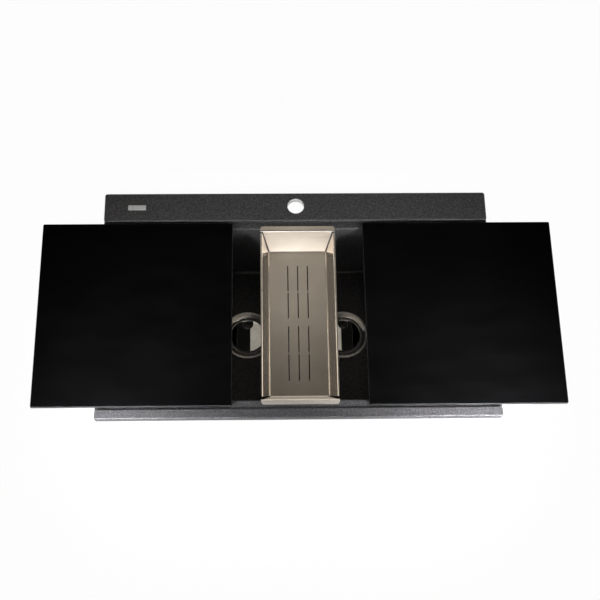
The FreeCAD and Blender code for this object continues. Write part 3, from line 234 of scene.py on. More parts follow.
class StudioSettings(bpy.types.PropertyGroup):
    """Camera, lamps, room and stage."""

    camera_place: FloatVectorProperty(
        name="Camera", description="Where the camera stands",
        subtype="TRANSLATION", size=3, default=(-0.063, -1.088, 2.401))
    camera_yaw: FloatProperty(
        name="Yaw", description="Turn of the view to the right",
        subtype="ANGLE", default=math.radians(3.59))
    camera_pitch: FloatProperty(
        name="Pitch", description="Tilt of the view below the horizon",
        subtype="ANGLE", default=math.radians(65.42))
    camera_roll: FloatProperty(
        name="Roll", description="Turn of the camera about its own axis",
        subtype="ANGLE", default=math.radians(2.89))
    sensor: FloatProperty(
        name="Sensor", description="Width of the camera's sensor, in millimetres",
        subtype="DISTANCE_CAMERA", default=36.0)
    lens: FloatProperty(
        name="Lens", description="Focal length of the camera, in millimetres",
        subtype="DISTANCE_CAMERA", default=77.57)
    sight: FloatProperty(
        name="Sight", description="How far the camera sees",
        subtype="DISTANCE", default=200.0)
    left_rail_lamp: FloatProperty(
        name="Left rail lamp", description="Power of the lamp by the rail's left end",
        subtype="POWER", default=3.2)
    right_rail_lamp: FloatProperty(
        name="Right rail lamp", description="Power of the lamp by the rail's right end",
        subtype="POWER", default=4.2)
    rail_place: FloatVectorProperty(
        name="Rail lamp place", description="Where the right rail lamp hangs; the left one mirrors it",
        subtype="TRANSLATION", size=3, default=(0.62, -0.62, 0.45))
    rail_target: FloatVectorProperty(
        name="Rail lamp target", description="Where the right rail lamp points; the left one mirrors it",
        subtype="TRANSLATION", size=3, default=(0.36, -0.255, 0.0))
    rail_size: FloatVectorProperty(
        name="Rail lamp size", description="Width and height of a rail lamp",
        unit="LENGTH", size=2, default=(0.2, 0.2))
    rail_spread: FloatProperty(
        name="Rail lamp spread", description="Angle of the beam that a grid leaves of a rail lamp",
        subtype="ANGLE", default=math.radians(52.0))
    wall_lamp: FloatProperty(
        name="Wall lamps", description="Power of each large side softbox",
        subtype="POWER", default=7.0)
    wall_place: FloatVectorProperty(
        name="Wall lamp place", description="Where the right softbox stands; the left one mirrors it",
        subtype="TRANSLATION", size=3, default=(1.6, 0.0, 0.75))
    wall_size: FloatVectorProperty(
        name="Wall lamp size", description="Width and height of a side softbox",
        unit="LENGTH", size=2, default=(1.6, 0.7))
    front_lamp: FloatProperty(
        name="Front lamp", description="Power of the large front softbox",
        subtype="POWER", default=3.0)
    front_place: FloatVectorProperty(
        name="Front lamp place", description="Where the front softbox stands",
        subtype="TRANSLATION", size=3, default=(0.0, -2.5, 0.65))
    front_size: FloatVectorProperty(
        name="Front lamp size", description="Width and height of the front softbox",
        unit="LENGTH", size=2, default=(3.0, 1.0))
    front_strip: FloatProperty(
        name="Front strip", description="Power of the low strip in front of the rail",
        subtype="POWER", default=3.5)
    strip_place: FloatVectorProperty(
        name="Strip place", description="Where the low strip stands",
        subtype="TRANSLATION", size=3, default=(0.0, -0.85, 0.14))
    strip_target: FloatVectorProperty(
        name="Strip target", description="Where the low strip points",
        subtype="TRANSLATION", size=3, default=(0.0, -0.24, 0.0))
    strip_size: FloatVectorProperty(
        name="Strip size", description="Width and height of the low strip",
        unit="LENGTH", size=2, default=(1.4, 0.12))
    front_ceiling: FloatProperty(
        name="Front ceiling", description="Power of the ceiling panel nearest the camera",
        subtype="POWER", default=0.2)
    near_ceiling: FloatProperty(
        name="Near ceiling", description="Power of the ceiling panel over the sink's rear half",
        subtype="POWER", default=0.07)
    middle_ceiling: FloatProperty(
        name="Middle ceiling", description="Power of the ceiling panel behind it",
        subtype="POWER", default=0.092)
    far_ceiling: FloatProperty(
        name="Far ceiling", description="Power of the farthest ceiling panel",
        subtype="POWER", default=0.31)
    ceiling_place: FloatVectorProperty(
        name="Ceiling panels", description="X and height of the ceiling panels",
        unit="LENGTH", size=2, default=(0.042, 1.5))
    ceiling_joints: FloatVectorProperty(
        name="Ceiling joints", description="Y where the ceiling panels start and end, from front to rear",
        unit="LENGTH", size=5, default=(-0.90, 0.05, 0.55, 0.80, 1.35))
    ceiling_width: FloatProperty(
        name="Ceiling width", description="Width of the ceiling panels",
        subtype="DISTANCE", default=0.326)
    lamp_tint: FloatVectorProperty(
        name="Lamp tint", description="Colour of the ceiling panels and the side softboxes",
        subtype="COLOR", size=3, default=(1.0, 0.94, 0.83))
    front_tint: FloatVectorProperty(
        name="Front tint", description="Colour of the rail lamps and the front strip",
        subtype="COLOR", size=3, default=(0.96, 0.97, 1.0))
    front_room: FloatProperty(
        name="Front wall", description="Brightness of the room in front", default=0.25)
    rear_room: FloatProperty(
        name="Rear wall", description="Brightness of the room behind", default=1.0)
    side_room: FloatProperty(
        name="Side walls", description="Brightness of the room at the sides", default=0.05)
    ceiling: FloatProperty(
        name="Ceiling", description="Brightness of the room overhead", default=0.005)
    fade_start: FloatProperty(
        name="Fade start", description="Sine of the elevation where the walls start to darken", default=0.58)
    fade_end: FloatProperty(
        name="Fade end", description="Sine of the elevation where the ceiling starts", default=0.82)
    room_tint: FloatVectorProperty(
        name="Room tint", description="Colour of the room's light",
        subtype="COLOR", size=3, default=(1.0, 0.985, 0.965))
    floor_tone: FloatVectorProperty(
        name="Floor", description="Colour of the floor under the lamps",
        subtype="COLOR", size=3, default=(0.86, 0.86, 0.86))
    floor_glow: FloatProperty(
        name="Floor glow", description="Share of even white in the floor as camera, metal and glass see it",
        subtype="FACTOR", default=0.97)
    floor_reach: FloatProperty(
        name="Floor radius", description="Radius of the pale floor",
        subtype="DISTANCE", default=60.0)
    floor_steps: IntProperty(
        name="Floor steps", description="Sides of the round floor", default=48)
    wall_height: FloatProperty(
        name="Wall height", description="Height of the pale wall round the floor",
        subtype="DISTANCE", default=7.0)
    panel_overlap: FloatProperty(
        name="Panel overlap", description="Width of the panel under the rim's seal",
        subtype="DISTANCE", default=0.010)
    panel_margin: FloatProperty(
        name="Panel margin", description="Width of the white panel round the rim's seal",
        subtype="DISTANCE", default=0.06)


# Materials

class Graph:
    """A node tree under construction."""

    prefix = "ShaderNode"

    def __init__(self, tree):
        self.tree = tree

    def node(self, kind, inputs=None, **settings):
        """A new node with its settings, and with values or links in its inputs."""
        made = self.tree.nodes.new(kind if "Node" in kind else self.prefix + kind)
        for key, value in settings.items():
            setattr(made, key, value)
        for key, value in (inputs or {}).items():
            self.feed(made.inputs[key], value)
        return made

    def feed(self, socket, value):
        """Links a socket to another one, or sets its value."""
        if isinstance(value, bpy.types.NodeSocket):
            self.tree.links.new(value, socket)
        else:
            socket.default_value = value

    def maths(self, operation, first, second=0.0):
        """The result of one calculation."""
        return self.node("ShaderNodeMath", {0: first, 1: second}, operation=operation).outputs[0]

    def between(self, value, low, high, to_low=0.0, to_high=1.0, curve="LINEAR"):
        """A value's place between low and high, carried over to another span."""
        inputs = {"Value": value, "From Min": low, "From Max": high, "To Min": to_low, "To Max": to_high}
        return self.node("ShaderNodeMapRange", inputs, interpolation_type=curve).outputs["Result"]


class Finish(Graph):
    """A material under construction, with short calls for its nodes."""

    def __init__(self, name):
        self.material = bpy.data.materials.new(name)
        self.material.use_nodes = True
        super().__init__(self.material.node_tree)
        self.surface = self.tree.nodes["Principled BSDF"]
        self.place = self.node("TexCoord").outputs["Object"]

    def set(self, **values):
        """Feeds the surface's sockets; an underscore stands for a space."""
        for key, value in values.items():
            self.feed(self.surface.inputs[key.replace("_", " ")], value)

    def stretched(self, scale):
        """Places on the piece, scaled along each axis."""
        return self.node("Mapping", {"Vector": self.place, "Scale": scale}).outputs["Vector"]

    def noise(self, scale, detail=2.0, vector=None, roughness=0.5):
        """A soft random pattern."""
        inputs = {"Vector": vector or self.place, "Scale": scale, "Detail": detail, "Roughness": roughness}
        return self.node("TexNoise", inputs).outputs["Fac"]

    def cells(self, scale):
        """The distance to the middle of the nearest of many small cells."""
        inputs = {"Vector": self.place, "Scale": scale}
        return self.node("TexVoronoi", inputs, feature="F1").outputs["Distance"]

    def mix(self, amount, first, second, blend="MIX"):
        """Two colours, mixed or multiplied."""
        inputs = {0: amount, 6: first, 7: second}
        return self.node("Mix", inputs, data_type="RGBA", blend_type=blend).outputs[2]

    def either(self, amount, first, second):
        """The first of two numbers where the amount is 0, and the second where it is 1."""
        return self.node("Mix", {0: amount, 2: first, 3: second}, data_type="FLOAT").outputs[0]

    def uneven(self, noise, low, high):
        """A number that wanders from low to high with a noise."""
        return self.between(noise, *NOISE_SPAN, low, high)

    def cloudy(self, noise, colour, dark, light):
        """A colour that wanders from a darker to a lighter tone of itself with a noise."""
        return self.mix(self.between(noise, *NOISE_SPAN), rgba(colour, dark), rgba(colour, light))

    def bump(self, height, strength, distance):
        """Fine relief that follows a height."""
        inputs = {"Height": height, "Strength": strength, "Distance": distance}
        self.set(Normal=self.node("Bump", inputs).outputs["Normal"])


def rgba(colour, factor=1.0):
    """A colour times a factor, for a node's socket."""
    return (colour[0] * factor, colour[1] * factor, colour[2] * factor, 1.0)


def granite_composite(finish):
    """Black moulded composite: fine quartz grain, slightly rough, with a soft sheen."""
    made = Finish("granite_composite")
    grains_per_metre = 1.0 / finish.grain_size
    flecks_per_grain = 0.55
    patches_per_grain = 0.3
    grain = made.noise(grains_per_metre, detail=3.0, roughness=0.7)
    flecks = made.cells(grains_per_metre * flecks_per_grain)
    patches = made.noise(grains_per_metre * patches_per_grain)
    speckle = made.between(grain, low=0.50, high=0.72)
    fleck = made.between(flecks, low=0.24, high=0.12, to_high=0.35)
    mottle = made.between(patches, low=0.38, high=0.62, to_low=0.5, to_high=1.55)
    body = made.mix(speckle, rgba(finish.composite), rgba(finish.composite_grain))
    body = made.mix(fleck, body, rgba(finish.composite_grain, factor=1.9))
    made.set(
        Base_Color=made.mix(1.0, body, mottle, blend="MULTIPLY"),
        Roughness=made.uneven(grain, low=0.42, high=0.60), IOR=COMPOSITE_IOR)
    made.bump(grain, strength=0.35, distance=0.00025)
    return made.material


def black_glass(finish):
    """Polished black glass with faint wiping marks."""
    made = Finish("black_glass")
    wipes = made.noise(9.0, detail=4.0, vector=made.stretched((1.0, 3.0, 1.0)), roughness=0.6)
    smear = made.between(wipes, low=0.4, high=0.7)
    made.set(
        Base_Color=made.mix(smear, rgba(finish.glass), rgba(finish.glass, factor=1.6)),
        Roughness=made.between(wipes, low=0.35, high=0.75, to_low=0.01, to_high=0.03), IOR=GLASS_IOR)
    return made.material


def ground_glass(finish):
    """The frosted, ground edge of the black glass."""
    made = Finish("ground_glass_edge")
    scratch = made.noise(900.0, vector=made.stretched((0.3, 0.3, 2.0)))
    made.set(
        Base_Color=made.cloudy(scratch, finish.glass_edge, dark=0.7, light=1.3),
        Roughness=made.uneven(scratch, low=0.5, high=0.65), IOR=GLASS_IOR, Specular_IOR_Level=0.2)
    return made.material


def brushed_steel(finish, flange_end):
    """Folded tray sheet, brushed lengthwise; the end walls, and the flange up to flange_end, are coarser."""
    made = Finish("brushed_tray_steel")
    floor_lines = made.stretched((1500.0, 9.0, 30.0))
    wall_lines = made.stretched((30.0, 9.0, 900.0))
    flange_roughness = 0.28
    end_roughness = 0.08
    blur = 0.001

    normal = made.node("SeparateXYZ", {"Vector": made.node("NewGeometry").outputs["Normal"]}).outputs
    sideways = made.maths("ABSOLUTE", normal["X"])
    endways = made.maths("ABSOLUTE", normal["Y"])
    walls = made.between(made.maths("MAXIMUM", sideways, endways), low=0.6, high=0.8)
    end_walls = made.between(endways, low=0.6, high=0.8)
    level = made.between(normal["Z"], low=0.9, high=0.97)

    lengthwise = made.noise(1.0, detail=3.0, vector=floor_lines, roughness=0.7)
    on_walls = made.noise(1.0, vector=wall_lines)
    on_walls = made.between(on_walls, low=0.0, high=1.0, to_low=0.36, to_high=0.64)
    brush = made.either(walls, lengthwise, on_walls)

    streaks = made.cloudy(brush, finish.steel, dark=0.9, light=1.07)
    cloud = made.uneven(made.noise(11.0), low=0.9, high=1.06)

    depth = made.node("SeparateXYZ", {"Vector": made.place}).outputs["Y"]
    front = made.between(depth, low=flange_end + blur, high=flange_end - blur)
    flange = made.maths("MULTIPLY", front, level)
    coarse_flange = made.maths("MULTIPLY", flange, flange_roughness)
    coarse_ends = made.maths("MULTIPLY", end_walls, end_roughness)
    coarse = made.maths("ADD", coarse_flange, coarse_ends)
    polish = made.between(brush, low=0.25, high=0.75, to_low=0.18, to_high=0.26)
    made.set(
        Base_Color=made.mix(1.0, streaks, cloud, blend="MULTIPLY"), Metallic=1.0,
        Roughness=made.maths("ADD", polish, coarse))
    made.bump(brush, strength=0.01, distance=0.0001)
    return made.material


def turned_steel(name, colour, polish, centre, stretch=0.0):
    """Steel turned about each drain, with lines that vary its polish and stretch its highlights."""
    made = Finish(name)
    lines_per_metre = 2600.0
    folded = made.node("VectorMath", {0: made.place}, operation="ABSOLUTE").outputs[0]
    middle = (abs(centre[0]), centre[1], 0.0)
    offset = made.node("VectorMath", {0: folded, 1: middle}, operation="SUBTRACT").outputs[0]
    flat = made.node("VectorMath", {0: offset, 1: (1.0, 1.0, 0.0)}, operation="MULTIPLY").outputs[0]
    radius = made.node("VectorMath", {0: flat}, operation="LENGTH").outputs["Value"]
    count = made.maths("MULTIPLY", radius, lines_per_metre)
    lines = made.node("TexNoise", {"W": count, "Scale": 1.0}, noise_dimensions="1D").outputs["Fac"]
    stain = made.between(made.noise(60.0, detail=3.0), low=0.35, high=0.7)
    made.set(
        Base_Color=made.mix(stain, rgba(colour), rgba(colour, factor=0.86)), Metallic=1.0,
        Roughness=made.uneven(lines, *polish), Anisotropic=stretch)
    if stretch:
        made.set(Tangent=made.node("Tangent", direction_type="RADIAL", axis="Z").outputs["Tangent"])
    return made.material


def plain_metal(name, colour, polish, scale=220.0):
    """Pressed or plated metal with a cloudy, slightly uneven finish."""
    made = Finish(name)
    cloud = made.noise(scale, detail=3.0)
    made.set(
        Base_Color=made.cloudy(cloud, colour, dark=0.85, light=1.1), Metallic=1.0,
        Roughness=made.uneven(cloud, *polish))
    return made.material


def moulded(name, colour, polish, scale=900.0):
    """Plastic, rubber, foam, or composite painted pale as painted light in the tap hole's bore, with a fine
    skin.
    """
    made = Finish(name)
    skin = made.noise(scale)
    cloud = made.noise(35.0)
    made.set(
        Base_Color=made.cloudy(cloud, colour, dark=0.9, light=1.06),
        Roughness=made.uneven(skin, *polish), IOR=MOULDED_IOR)
    made.bump(skin, strength=0.2, distance=0.00012)
    return made.material


# Making pieces

def linked(name, data):
    """A new object in the scene."""
    made = bpy.data.objects.new(name, data)
    bpy.context.scene.collection.objects.link(made)
    return made


def piece(name, mesh, node, *materials):
    """A finished piece that stands for a CAD node and rides on its body."""
    made = linked(name, mesh)
    for material in materials:
        mesh.materials.append(material)
    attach(made, BODY_OF[node])
    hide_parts(node)
    return made


def shade(mesh):
    """Smooth shading, with a sharp edge where two faces meet at a clear angle."""
    mesh.polygons.foreach_set("use_smooth", [True] * len(mesh.polygons))
    mesh.set_sharp_from_angle(angle=EDGE_ANGLE)


def taken(holder, name):
    """The plain mesh that a holder's modifiers give; the holder goes."""
    graph = bpy.context.evaluated_depsgraph_get()
    mesh = bpy.data.meshes.new_from_object(
        holder.evaluated_get(graph), preserve_all_data_layers=True, depsgraph=graph)
    mesh.name = name
    start = holder.data
    bpy.data.objects.remove(holder)
    bpy.data.meshes.remove(start)
    return mesh


def welded(node):
    """A CAD node's triangles with their shared corners joined."""
    shape = bmesh.new()
    shape.from_mesh(frame["nodes"][node].data)
    bmesh.ops.remove_doubles(shape, verts=shape.verts, dist=WELD)
    return shape


def smooth_mesh(node, name):
    """A copy of a CAD node's mesh with its triangles joined and its curved faces shaded smooth."""
    shape = welded(node)
    points = [vert.co.copy() for vert in shape.verts]
    shape.verts.index_update()
    faces = [[vert.index for vert in face.verts] for face in shape.faces]
    shape.free()
    joined = bpy.data.meshes.new(name + "_joined")
    joined.from_pydata(points, [], faces)
    shade(joined)
    holder = linked(name + "_holder", joined)
    flatten = holder.modifiers.new("Flat faces stay flat", "WEIGHTED_NORMAL")
    flatten.keep_sharp = True
    return taken(holder, name)


def dress(node, material):
    """Replaces a CAD node with its smoothly shaded copy in a material."""
    return piece(node + "_dressed", smooth_mesh(node, node + "_dressed"), node, material)


def dress_both(finishes):
    """Dresses the left and the right piece of each name."""
    for side in SIDES:
        for name, material in finishes.items():
            dress(side + "_" + name, material)


def dressed_material(node):
    """The material that a node's dressed copy has."""
    return bpy.data.objects[node + "_dressed"].data.materials[0]


def refinish(made, faces, material):
    """Gives some faces of a dressed piece a second material."""
    made.data.materials.append(material)
    for face in faces:
        face.material_index = 1


def islands(node):
    """The lowest and highest corners of each separate solid in a CAD node."""
    shape = welded(node)
    waiting = set(shape.verts)
    boxes = []
    while waiting:
        reached = [waiting.pop()]
        found = []
        while reached:
            vert = reached.pop()
            found.append(vert.co.copy())
            for edge in vert.link_edges:
                other = edge.other_vert(vert)
                if other in waiting:
                    waiting.remove(other)
                    reached.append(other)
        low = Vector([min(point[axis] for point in found) for axis in range(3)])
        high = Vector([max(point[axis] for point in found) for axis in range(3)])
        boxes.append((low, high))
    shape.free()
    return sorted(boxes, key=lambda corners: tuple(corners[0]))


def bore_faces(mesh, mount):
    """The faces of a mesh that line the bore of a mount along Z."""
    row = next(row for row in frame["record"]["mounts"] if row["name"] == mount)
    centre = Vector(row["pos_m"]).xy
    reach = row["dims"]["r_mm"] / 1000.0 + WELD
    return [
        face for face in mesh.polygons
        if (face.center.xy - centre).length < reach and abs(face.normal.z) < UPRIGHT]


def slot_faces(mesh, low, high):
    """The upright faces of the slots in a tray's floor, well clear of its bends."""
    slotted_share = 0.4
    above_sheet = 0.0015
    middle = (low + high) / 2
    reach = (high - low) * slotted_share
    return [
        face for face in mesh.polygons
        if abs(face.normal.z) < UPRIGHT and face.center.z < low.z + above_sheet
        and abs(face.center.x - middle.x) < reach.x and abs(face.center.y - middle.y) < reach.y]


def rounded_outline(low, high, radius, steps, inset=0.0):
    """Plan points of a rounded rectangle, anticlockwise."""
    points = []
    reach = radius - inset
    corners = ((high.x, high.y), (low.x, high.y), (low.x, low.y), (high.x, low.y))
    for quarter, (x, y) in enumerate(corners):
        centre_x = x - math.copysign(radius, x - (low.x + high.x) / 2)
        centre_y = y - math.copysign(radius, y - (low.y + high.y) / 2)
        for step in range(steps + 1):
            angle = QUARTER_TURN * (quarter + step / steps)
            points.append((centre_x + reach * math.cos(angle), centre_y + reach * math.sin(angle)))
    return points


def glass_board(side, settings, materials):
    """One board: polished faces, and a ground edge with an arris above and below."""
    node = side + "_chopping_board"
    low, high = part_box(node)
    arris = settings.arris
    levels = ((low.z, arris), (low.z + arris, 0.0), (high.z - arris, 0.0), (high.z, arris))
    shape = bmesh.new()
    rings = []
    for z, inset in levels:
        outline = rounded_outline(low, high, settings.corner_radius, settings.corner_steps, inset)
        rings.append([shape.verts.new((x, y, z)) for x, y in outline])
    shape.faces.new(rings[-1])
    shape.faces.new(rings[0][::-1])
    for below, above in zip(rings, rings[1:]):
        for index in range(len(below)):
            following = (index + 1) % len(below)
            face = shape.faces.new((below[index], below[following], above[following], above[index]))
            face.material_index = 1
    mesh = bpy.data.meshes.new(node + "_glass")
    shape.to_mesh(mesh)
    shape.free()
    return piece(node + "_glass", mesh, node, *materials)


# Geometry Nodes

class Tree(Graph):
    """A Geometry Nodes tree that puts a shape on each point, with named inputs for its sizes."""

    prefix = "GeometryNode"

    def __init__(self, name, sizes):
        super().__init__(bpy.data.node_groups.new(name, "GeometryNodeTree"))
        face = self.tree.interface
        face.new_socket("Geometry", in_out="INPUT", socket_type="NodeSocketGeometry")
        kinds = dict.fromkeys(sizes, "Float")
        kinds.update({"Turn": "Vector", "Material": "Material"})
        self.sockets = {}
        for label, kind in kinds.items():
            made = face.new_socket(label, in_out="INPUT", socket_type="NodeSocket" + kind)
            self.sockets[label] = made.identifier
        face.new_socket("Geometry", in_out="OUTPUT", socket_type="NodeSocketGeometry")
        self.size = self.node("NodeGroupInput").outputs

    def vector(self, x, y, z):
        """Three numbers as one vector."""
        return self.node("ShaderNodeCombineXYZ", {"X": x, "Y": y, "Z": z}).outputs[0]

    def moved(self, geometry, z):
        """A geometry moved upwards."""
        inputs = {"Geometry": geometry, "Translation": self.vector(0.0, 0.0, z)}
        return self.node("Transform", inputs).outputs["Geometry"]

    def cylinder(self, vertices, radius, depth, segments=1):
        """An upright cylinder about the origin."""
        inputs = {"Vertices": vertices, "Side Segments": segments, "Radius": radius, "Depth": depth}
        return self.node("MeshCylinder", inputs).outputs["Mesh"]

    def joined(self, *geometries):
        """Several geometries as one."""
        made = self.node("JoinGeometry")
        for geometry in geometries:
            self.feed(made.inputs["Geometry"], geometry)
        return made.outputs["Geometry"]

    def finish(self, shape):
        """Puts the shape on every point, turned, and ends the tree."""
        inputs = {"Points": self.size["Geometry"], "Instance": shape, "Rotation": self.size["Turn"]}
        placed = self.node("InstanceOnPoints", inputs).outputs["Instances"]
        real = self.node("RealizeInstances", {"Geometry": placed}).outputs["Geometry"]
        coloured = self.node("SetMaterial", {"Geometry": real, "Material": self.size["Material"]})
        self.feed(self.node("NodeGroupOutput").inputs["Geometry"], coloured.outputs["Geometry"])
        return self

    def grow(self, name, points, turn, material, **sizes):
        """The plain mesh that this tree makes on some points."""
        seeds = bpy.data.meshes.new(name + "_seeds")
        seeds.from_pydata(points, [], [])
        holder = linked(name + "_holder", seeds)
        modifier = holder.modifiers.new("Tree", "NODES")
        modifier.node_group = self.tree
        for label, value in sizes.items():
            modifier[self.sockets[label]] = value
        modifier[self.sockets["Turn"]] = turn
        modifier[self.sockets["Material"]] = material
        mesh = taken(holder, name)
        shade(mesh)
        return mesh


def helix(tree, radius, depth, start, height, pitch, steps):
    """A ridge of triangular section wound round the axis, from start upwards."""
    turns = tree.maths("DIVIDE", height, pitch)
    inputs = {
        "Resolution": steps, "Rotations": turns, "Start Radius": radius, "End Radius": radius,
        "Height": height,
    }
    path = tree.node("CurveSpiral", inputs).outputs["Curve"]
    section = tree.node("CurvePrimitiveCircle", {"Resolution": 3, "Radius": depth}).outputs["Curve"]
    inputs = {"Curve": path, "Profile Curve": section, "Fill Caps": True}
    ridge = tree.node("CurveToMesh", inputs).outputs["Mesh"]
    return tree.moved(ridge, start)


def screw_head(tree):
    """A domed head above its seat, with a cross recess half as deep as the head."""
    radius = tree.size["Head Radius"]
    height = tree.size["Head Height"]
    width = tree.size["Recess"]
    flattening = 0.5
    steepness = 3.0
    bar_share = 1.1
    blank = tree.cylinder(vertices=32, radius=radius, depth=height, segments=6)
    place = tree.node("InputPosition").outputs["Position"]
    parts = tree.node("ShaderNodeSeparateXYZ", {0: place}).outputs
    level = tree.maths("ADD", tree.maths("DIVIDE", parts["Z"], height), 0.5)
    fall = tree.maths("MULTIPLY", tree.maths("POWER", level, steepness), flattening)
    narrowing = tree.maths("SQRT", tree.maths("SUBTRACT", 1.0, fall))
    x = tree.maths("MULTIPLY", parts["X"], narrowing)
    y = tree.maths("MULTIPLY", parts["Y"], narrowing)
    inputs = {"Geometry": blank, "Position": tree.vector(x, y, parts["Z"])}
    domed = tree.node("SetPosition", inputs).outputs["Geometry"]
    head = tree.moved(domed, tree.maths("MULTIPLY", height, 0.5))
    length = tree.maths("MULTIPLY", radius, bar_share)
    recessed = tree.node("MeshBoolean", {"Mesh 1": head}, operation="DIFFERENCE")
    for size in (tree.vector(length, width, height), tree.vector(width, length, height)):
        bar = tree.node("MeshCube", {"Size": size}).outputs["Mesh"]
        tree.feed(recessed.inputs["Mesh 2"], tree.moved(bar, height))
    return recessed.outputs["Mesh"]


def screw_tree():
    """A pan-head screw with a thread; its seat is on the point and its head above."""
    sizes = ("Head Radius", "Head Height", "Shank Radius", "Shank Length", "Pitch", "Recess")
    tree = Tree("pan_head_screw", sizes)
    radius = tree.size["Shank Radius"]
    length = tree.size["Shank Length"]
    root_share = 0.82
    thread_start = -0.97
    thread_share = 0.9
    head = screw_head(tree)
    root = tree.maths("MULTIPLY", radius, root_share)
    ridge = tree.maths("MULTIPLY", radius, 1.0 - root_share)
    core = tree.cylinder(vertices=24, radius=root, depth=length)
    core = tree.moved(core, tree.maths("MULTIPLY", length, -0.5))
    start = tree.maths("MULTIPLY", length, thread_start)
    height = tree.maths("MULTIPLY", length, thread_share)
    thread = helix(tree, root, ridge, start, height, tree.size["Pitch"], steps=16)
    return tree.finish(tree.joined(head, core, thread))


def pipe_thread_tree():
    """A coarse moulded thread round a pipe, from the point upwards."""
    tree = Tree("pipe_thread", ("Radius", "Length", "Pitch", "Depth"))
    size = tree.size
    thread = helix(tree, size["Radius"], size["Depth"], 0.0, size["Length"], size["Pitch"], steps=48)
    return tree.finish(thread)


# Studio

def backdrop_material(studio):
    """A pale floor that stays white behind the object and still takes a soft shadow."""
    made = Finish("pale_floor")
    made.set(Base_Color=rgba(studio.floor_tone), Roughness=0.9, Specular_IOR_Level=0.0)
    rays = made.node("LightPath").outputs
    seen = made.maths("MAXIMUM", rays["Is Camera Ray"], rays["Is Glossy Ray"])
    seen = made.maths("MAXIMUM", seen, rays["Is Transmission Ray"])
    glow = made.node("Emission", {"Color": rgba(WHITE), "Strength": 1.0}).outputs["Emission"]
    share = made.maths("MULTIPLY", seen, studio.floor_glow)
    blend = made.node("MixShader", {0: share, 1: made.surface.outputs["BSDF"], 2: glow})
    made.feed(made.tree.nodes["Material Output"].inputs["Surface"], blend.outputs["Shader"])
    return made.material


def studio_world(studio):
    """A room whose sides have their own brightness and fade to a dark ceiling."""
    world = bpy.data.worlds.new("studio_room")
    world.use_nodes = True
    graph = Graph(world.node_tree)
    never_zero = 1e-6
    way = graph.node("SeparateXYZ", {"Vector": graph.node("TexCoord").outputs["Generated"]}).outputs
    along = graph.maths("MULTIPLY", way["Y"], way["Y"])
    across = graph.maths("MULTIPLY", way["X"], way["X"])
    horizontal = graph.maths("ADD", graph.maths("ADD", along, across), never_zero)
    lengthwise = graph.maths("DIVIDE", along, horizontal)
    behind = graph.maths("GREATER_THAN", way["Y"], 0.0)
    ends = graph.between(behind, 0.0, 1.0, studio.front_room, studio.rear_room)
    sides = graph.between(lengthwise, 0.0, 1.0, studio.side_room, ends)
    strength = graph.between(
        way["Z"], studio.fade_start, studio.fade_end, sides, studio.ceiling, curve="SMOOTHSTEP")
    room = graph.node("Background", {"Color": rgba(studio.room_tint), "Strength": strength})
    graph.feed(graph.tree.nodes["World Output"].inputs["Surface"], room.outputs["Background"])
    return world


def softbox(name, place, target, size, power, colour=WHITE):
    """A rectangular lamp that faces a point."""
    lamp = bpy.data.lights.new(name, "AREA")
    lamp.shape = "RECTANGLE"
    lamp.size, lamp.size_y = size
    lamp.energy = power
    lamp.color = colour
    made = linked(name, lamp)
    made.location = place
    made.visible_camera = False
    made.rotation_euler = (Vector(target) - Vector(place)).to_track_quat("-Z", "Y").to_euler()
    return lamp


def mirrored(point, way):
    """A point of the right side, or its mirror image on the left."""
    return (way * point[0], point[1], point[2])


def side_lamps(studio, side, way):
    """A narrow lamp by the rail's end and a large softbox beside the sink."""
    place = mirrored(studio.rail_place, way)
    target = mirrored(studio.rail_target, way)
    power = getattr(studio, side + "_rail_lamp")
    lamp = softbox(side + "_rail_lamp", place, target, studio.rail_size, power, studio.front_tint)
    lamp.spread = studio.rail_spread
    place = mirrored(studio.wall_place, way)
    softbox(side + "_wall_lamp", place, MIDDLE, studio.wall_size, studio.wall_lamp, studio.lamp_tint)


def front_lamps(studio):
    """A large softbox in front, and a low strip before the rail."""
    softbox("front_lamp", studio.front_place, MIDDLE, studio.front_size, studio.front_lamp)
    softbox(
        "front_strip", studio.strip_place, studio.strip_target, studio.strip_size, studio.front_strip,
        studio.front_tint)


def ceiling_lamps(studio):
    """A row of panels overhead, from front to rear."""
    x, z = studio.ceiling_place
    joints = tuple(studio.ceiling_joints)
    for name, near, far in zip(("front", "near", "middle", "far"), joints, joints[1:]):
        y = (near + far) / 2
        size = (studio.ceiling_width, far - near)
        power = getattr(studio, name + "_ceiling")
        softbox(name + "_ceiling_lamp", (x, y, z), (x, y, 0.0), size, power, studio.lamp_tint)


def photo_camera(studio):
    """The camera at the photograph's viewing angle."""
    yaw, pitch, roll = studio.camera_yaw, studio.camera_pitch, studio.camera_roll
    forward = Vector((math.sin(yaw) * math.cos(pitch), math.cos(yaw) * math.cos(pitch), -math.sin(pitch)))
    right = Vector((math.cos(yaw), -math.sin(yaw), 0.0))
    up = right.cross(forward)
    turned_right = right * math.cos(roll) + up * math.sin(roll)
    turned_up = up * math.cos(roll) - right * math.sin(roll)
    data = bpy.data.cameras.new("photo_camera")
    data.sensor_width = studio.sensor
    data.lens = studio.lens
    data.clip_end = studio.sight
    made = linked("photo_camera", data)
    axes = Matrix((turned_right, turned_up, -forward)).transposed().to_4x4()
    made.matrix_world = Matrix.Translation(Vector(studio.camera_place)) @ axes
    bpy.context.scene.camera = made


def stage_piece(name, points, faces, material):
    """A plain object of the stage."""
    mesh = bpy.data.meshes.new(name)
    mesh.from_pydata(points, [], faces)
    mesh.materials.append(material)
    return linked(name, mesh)


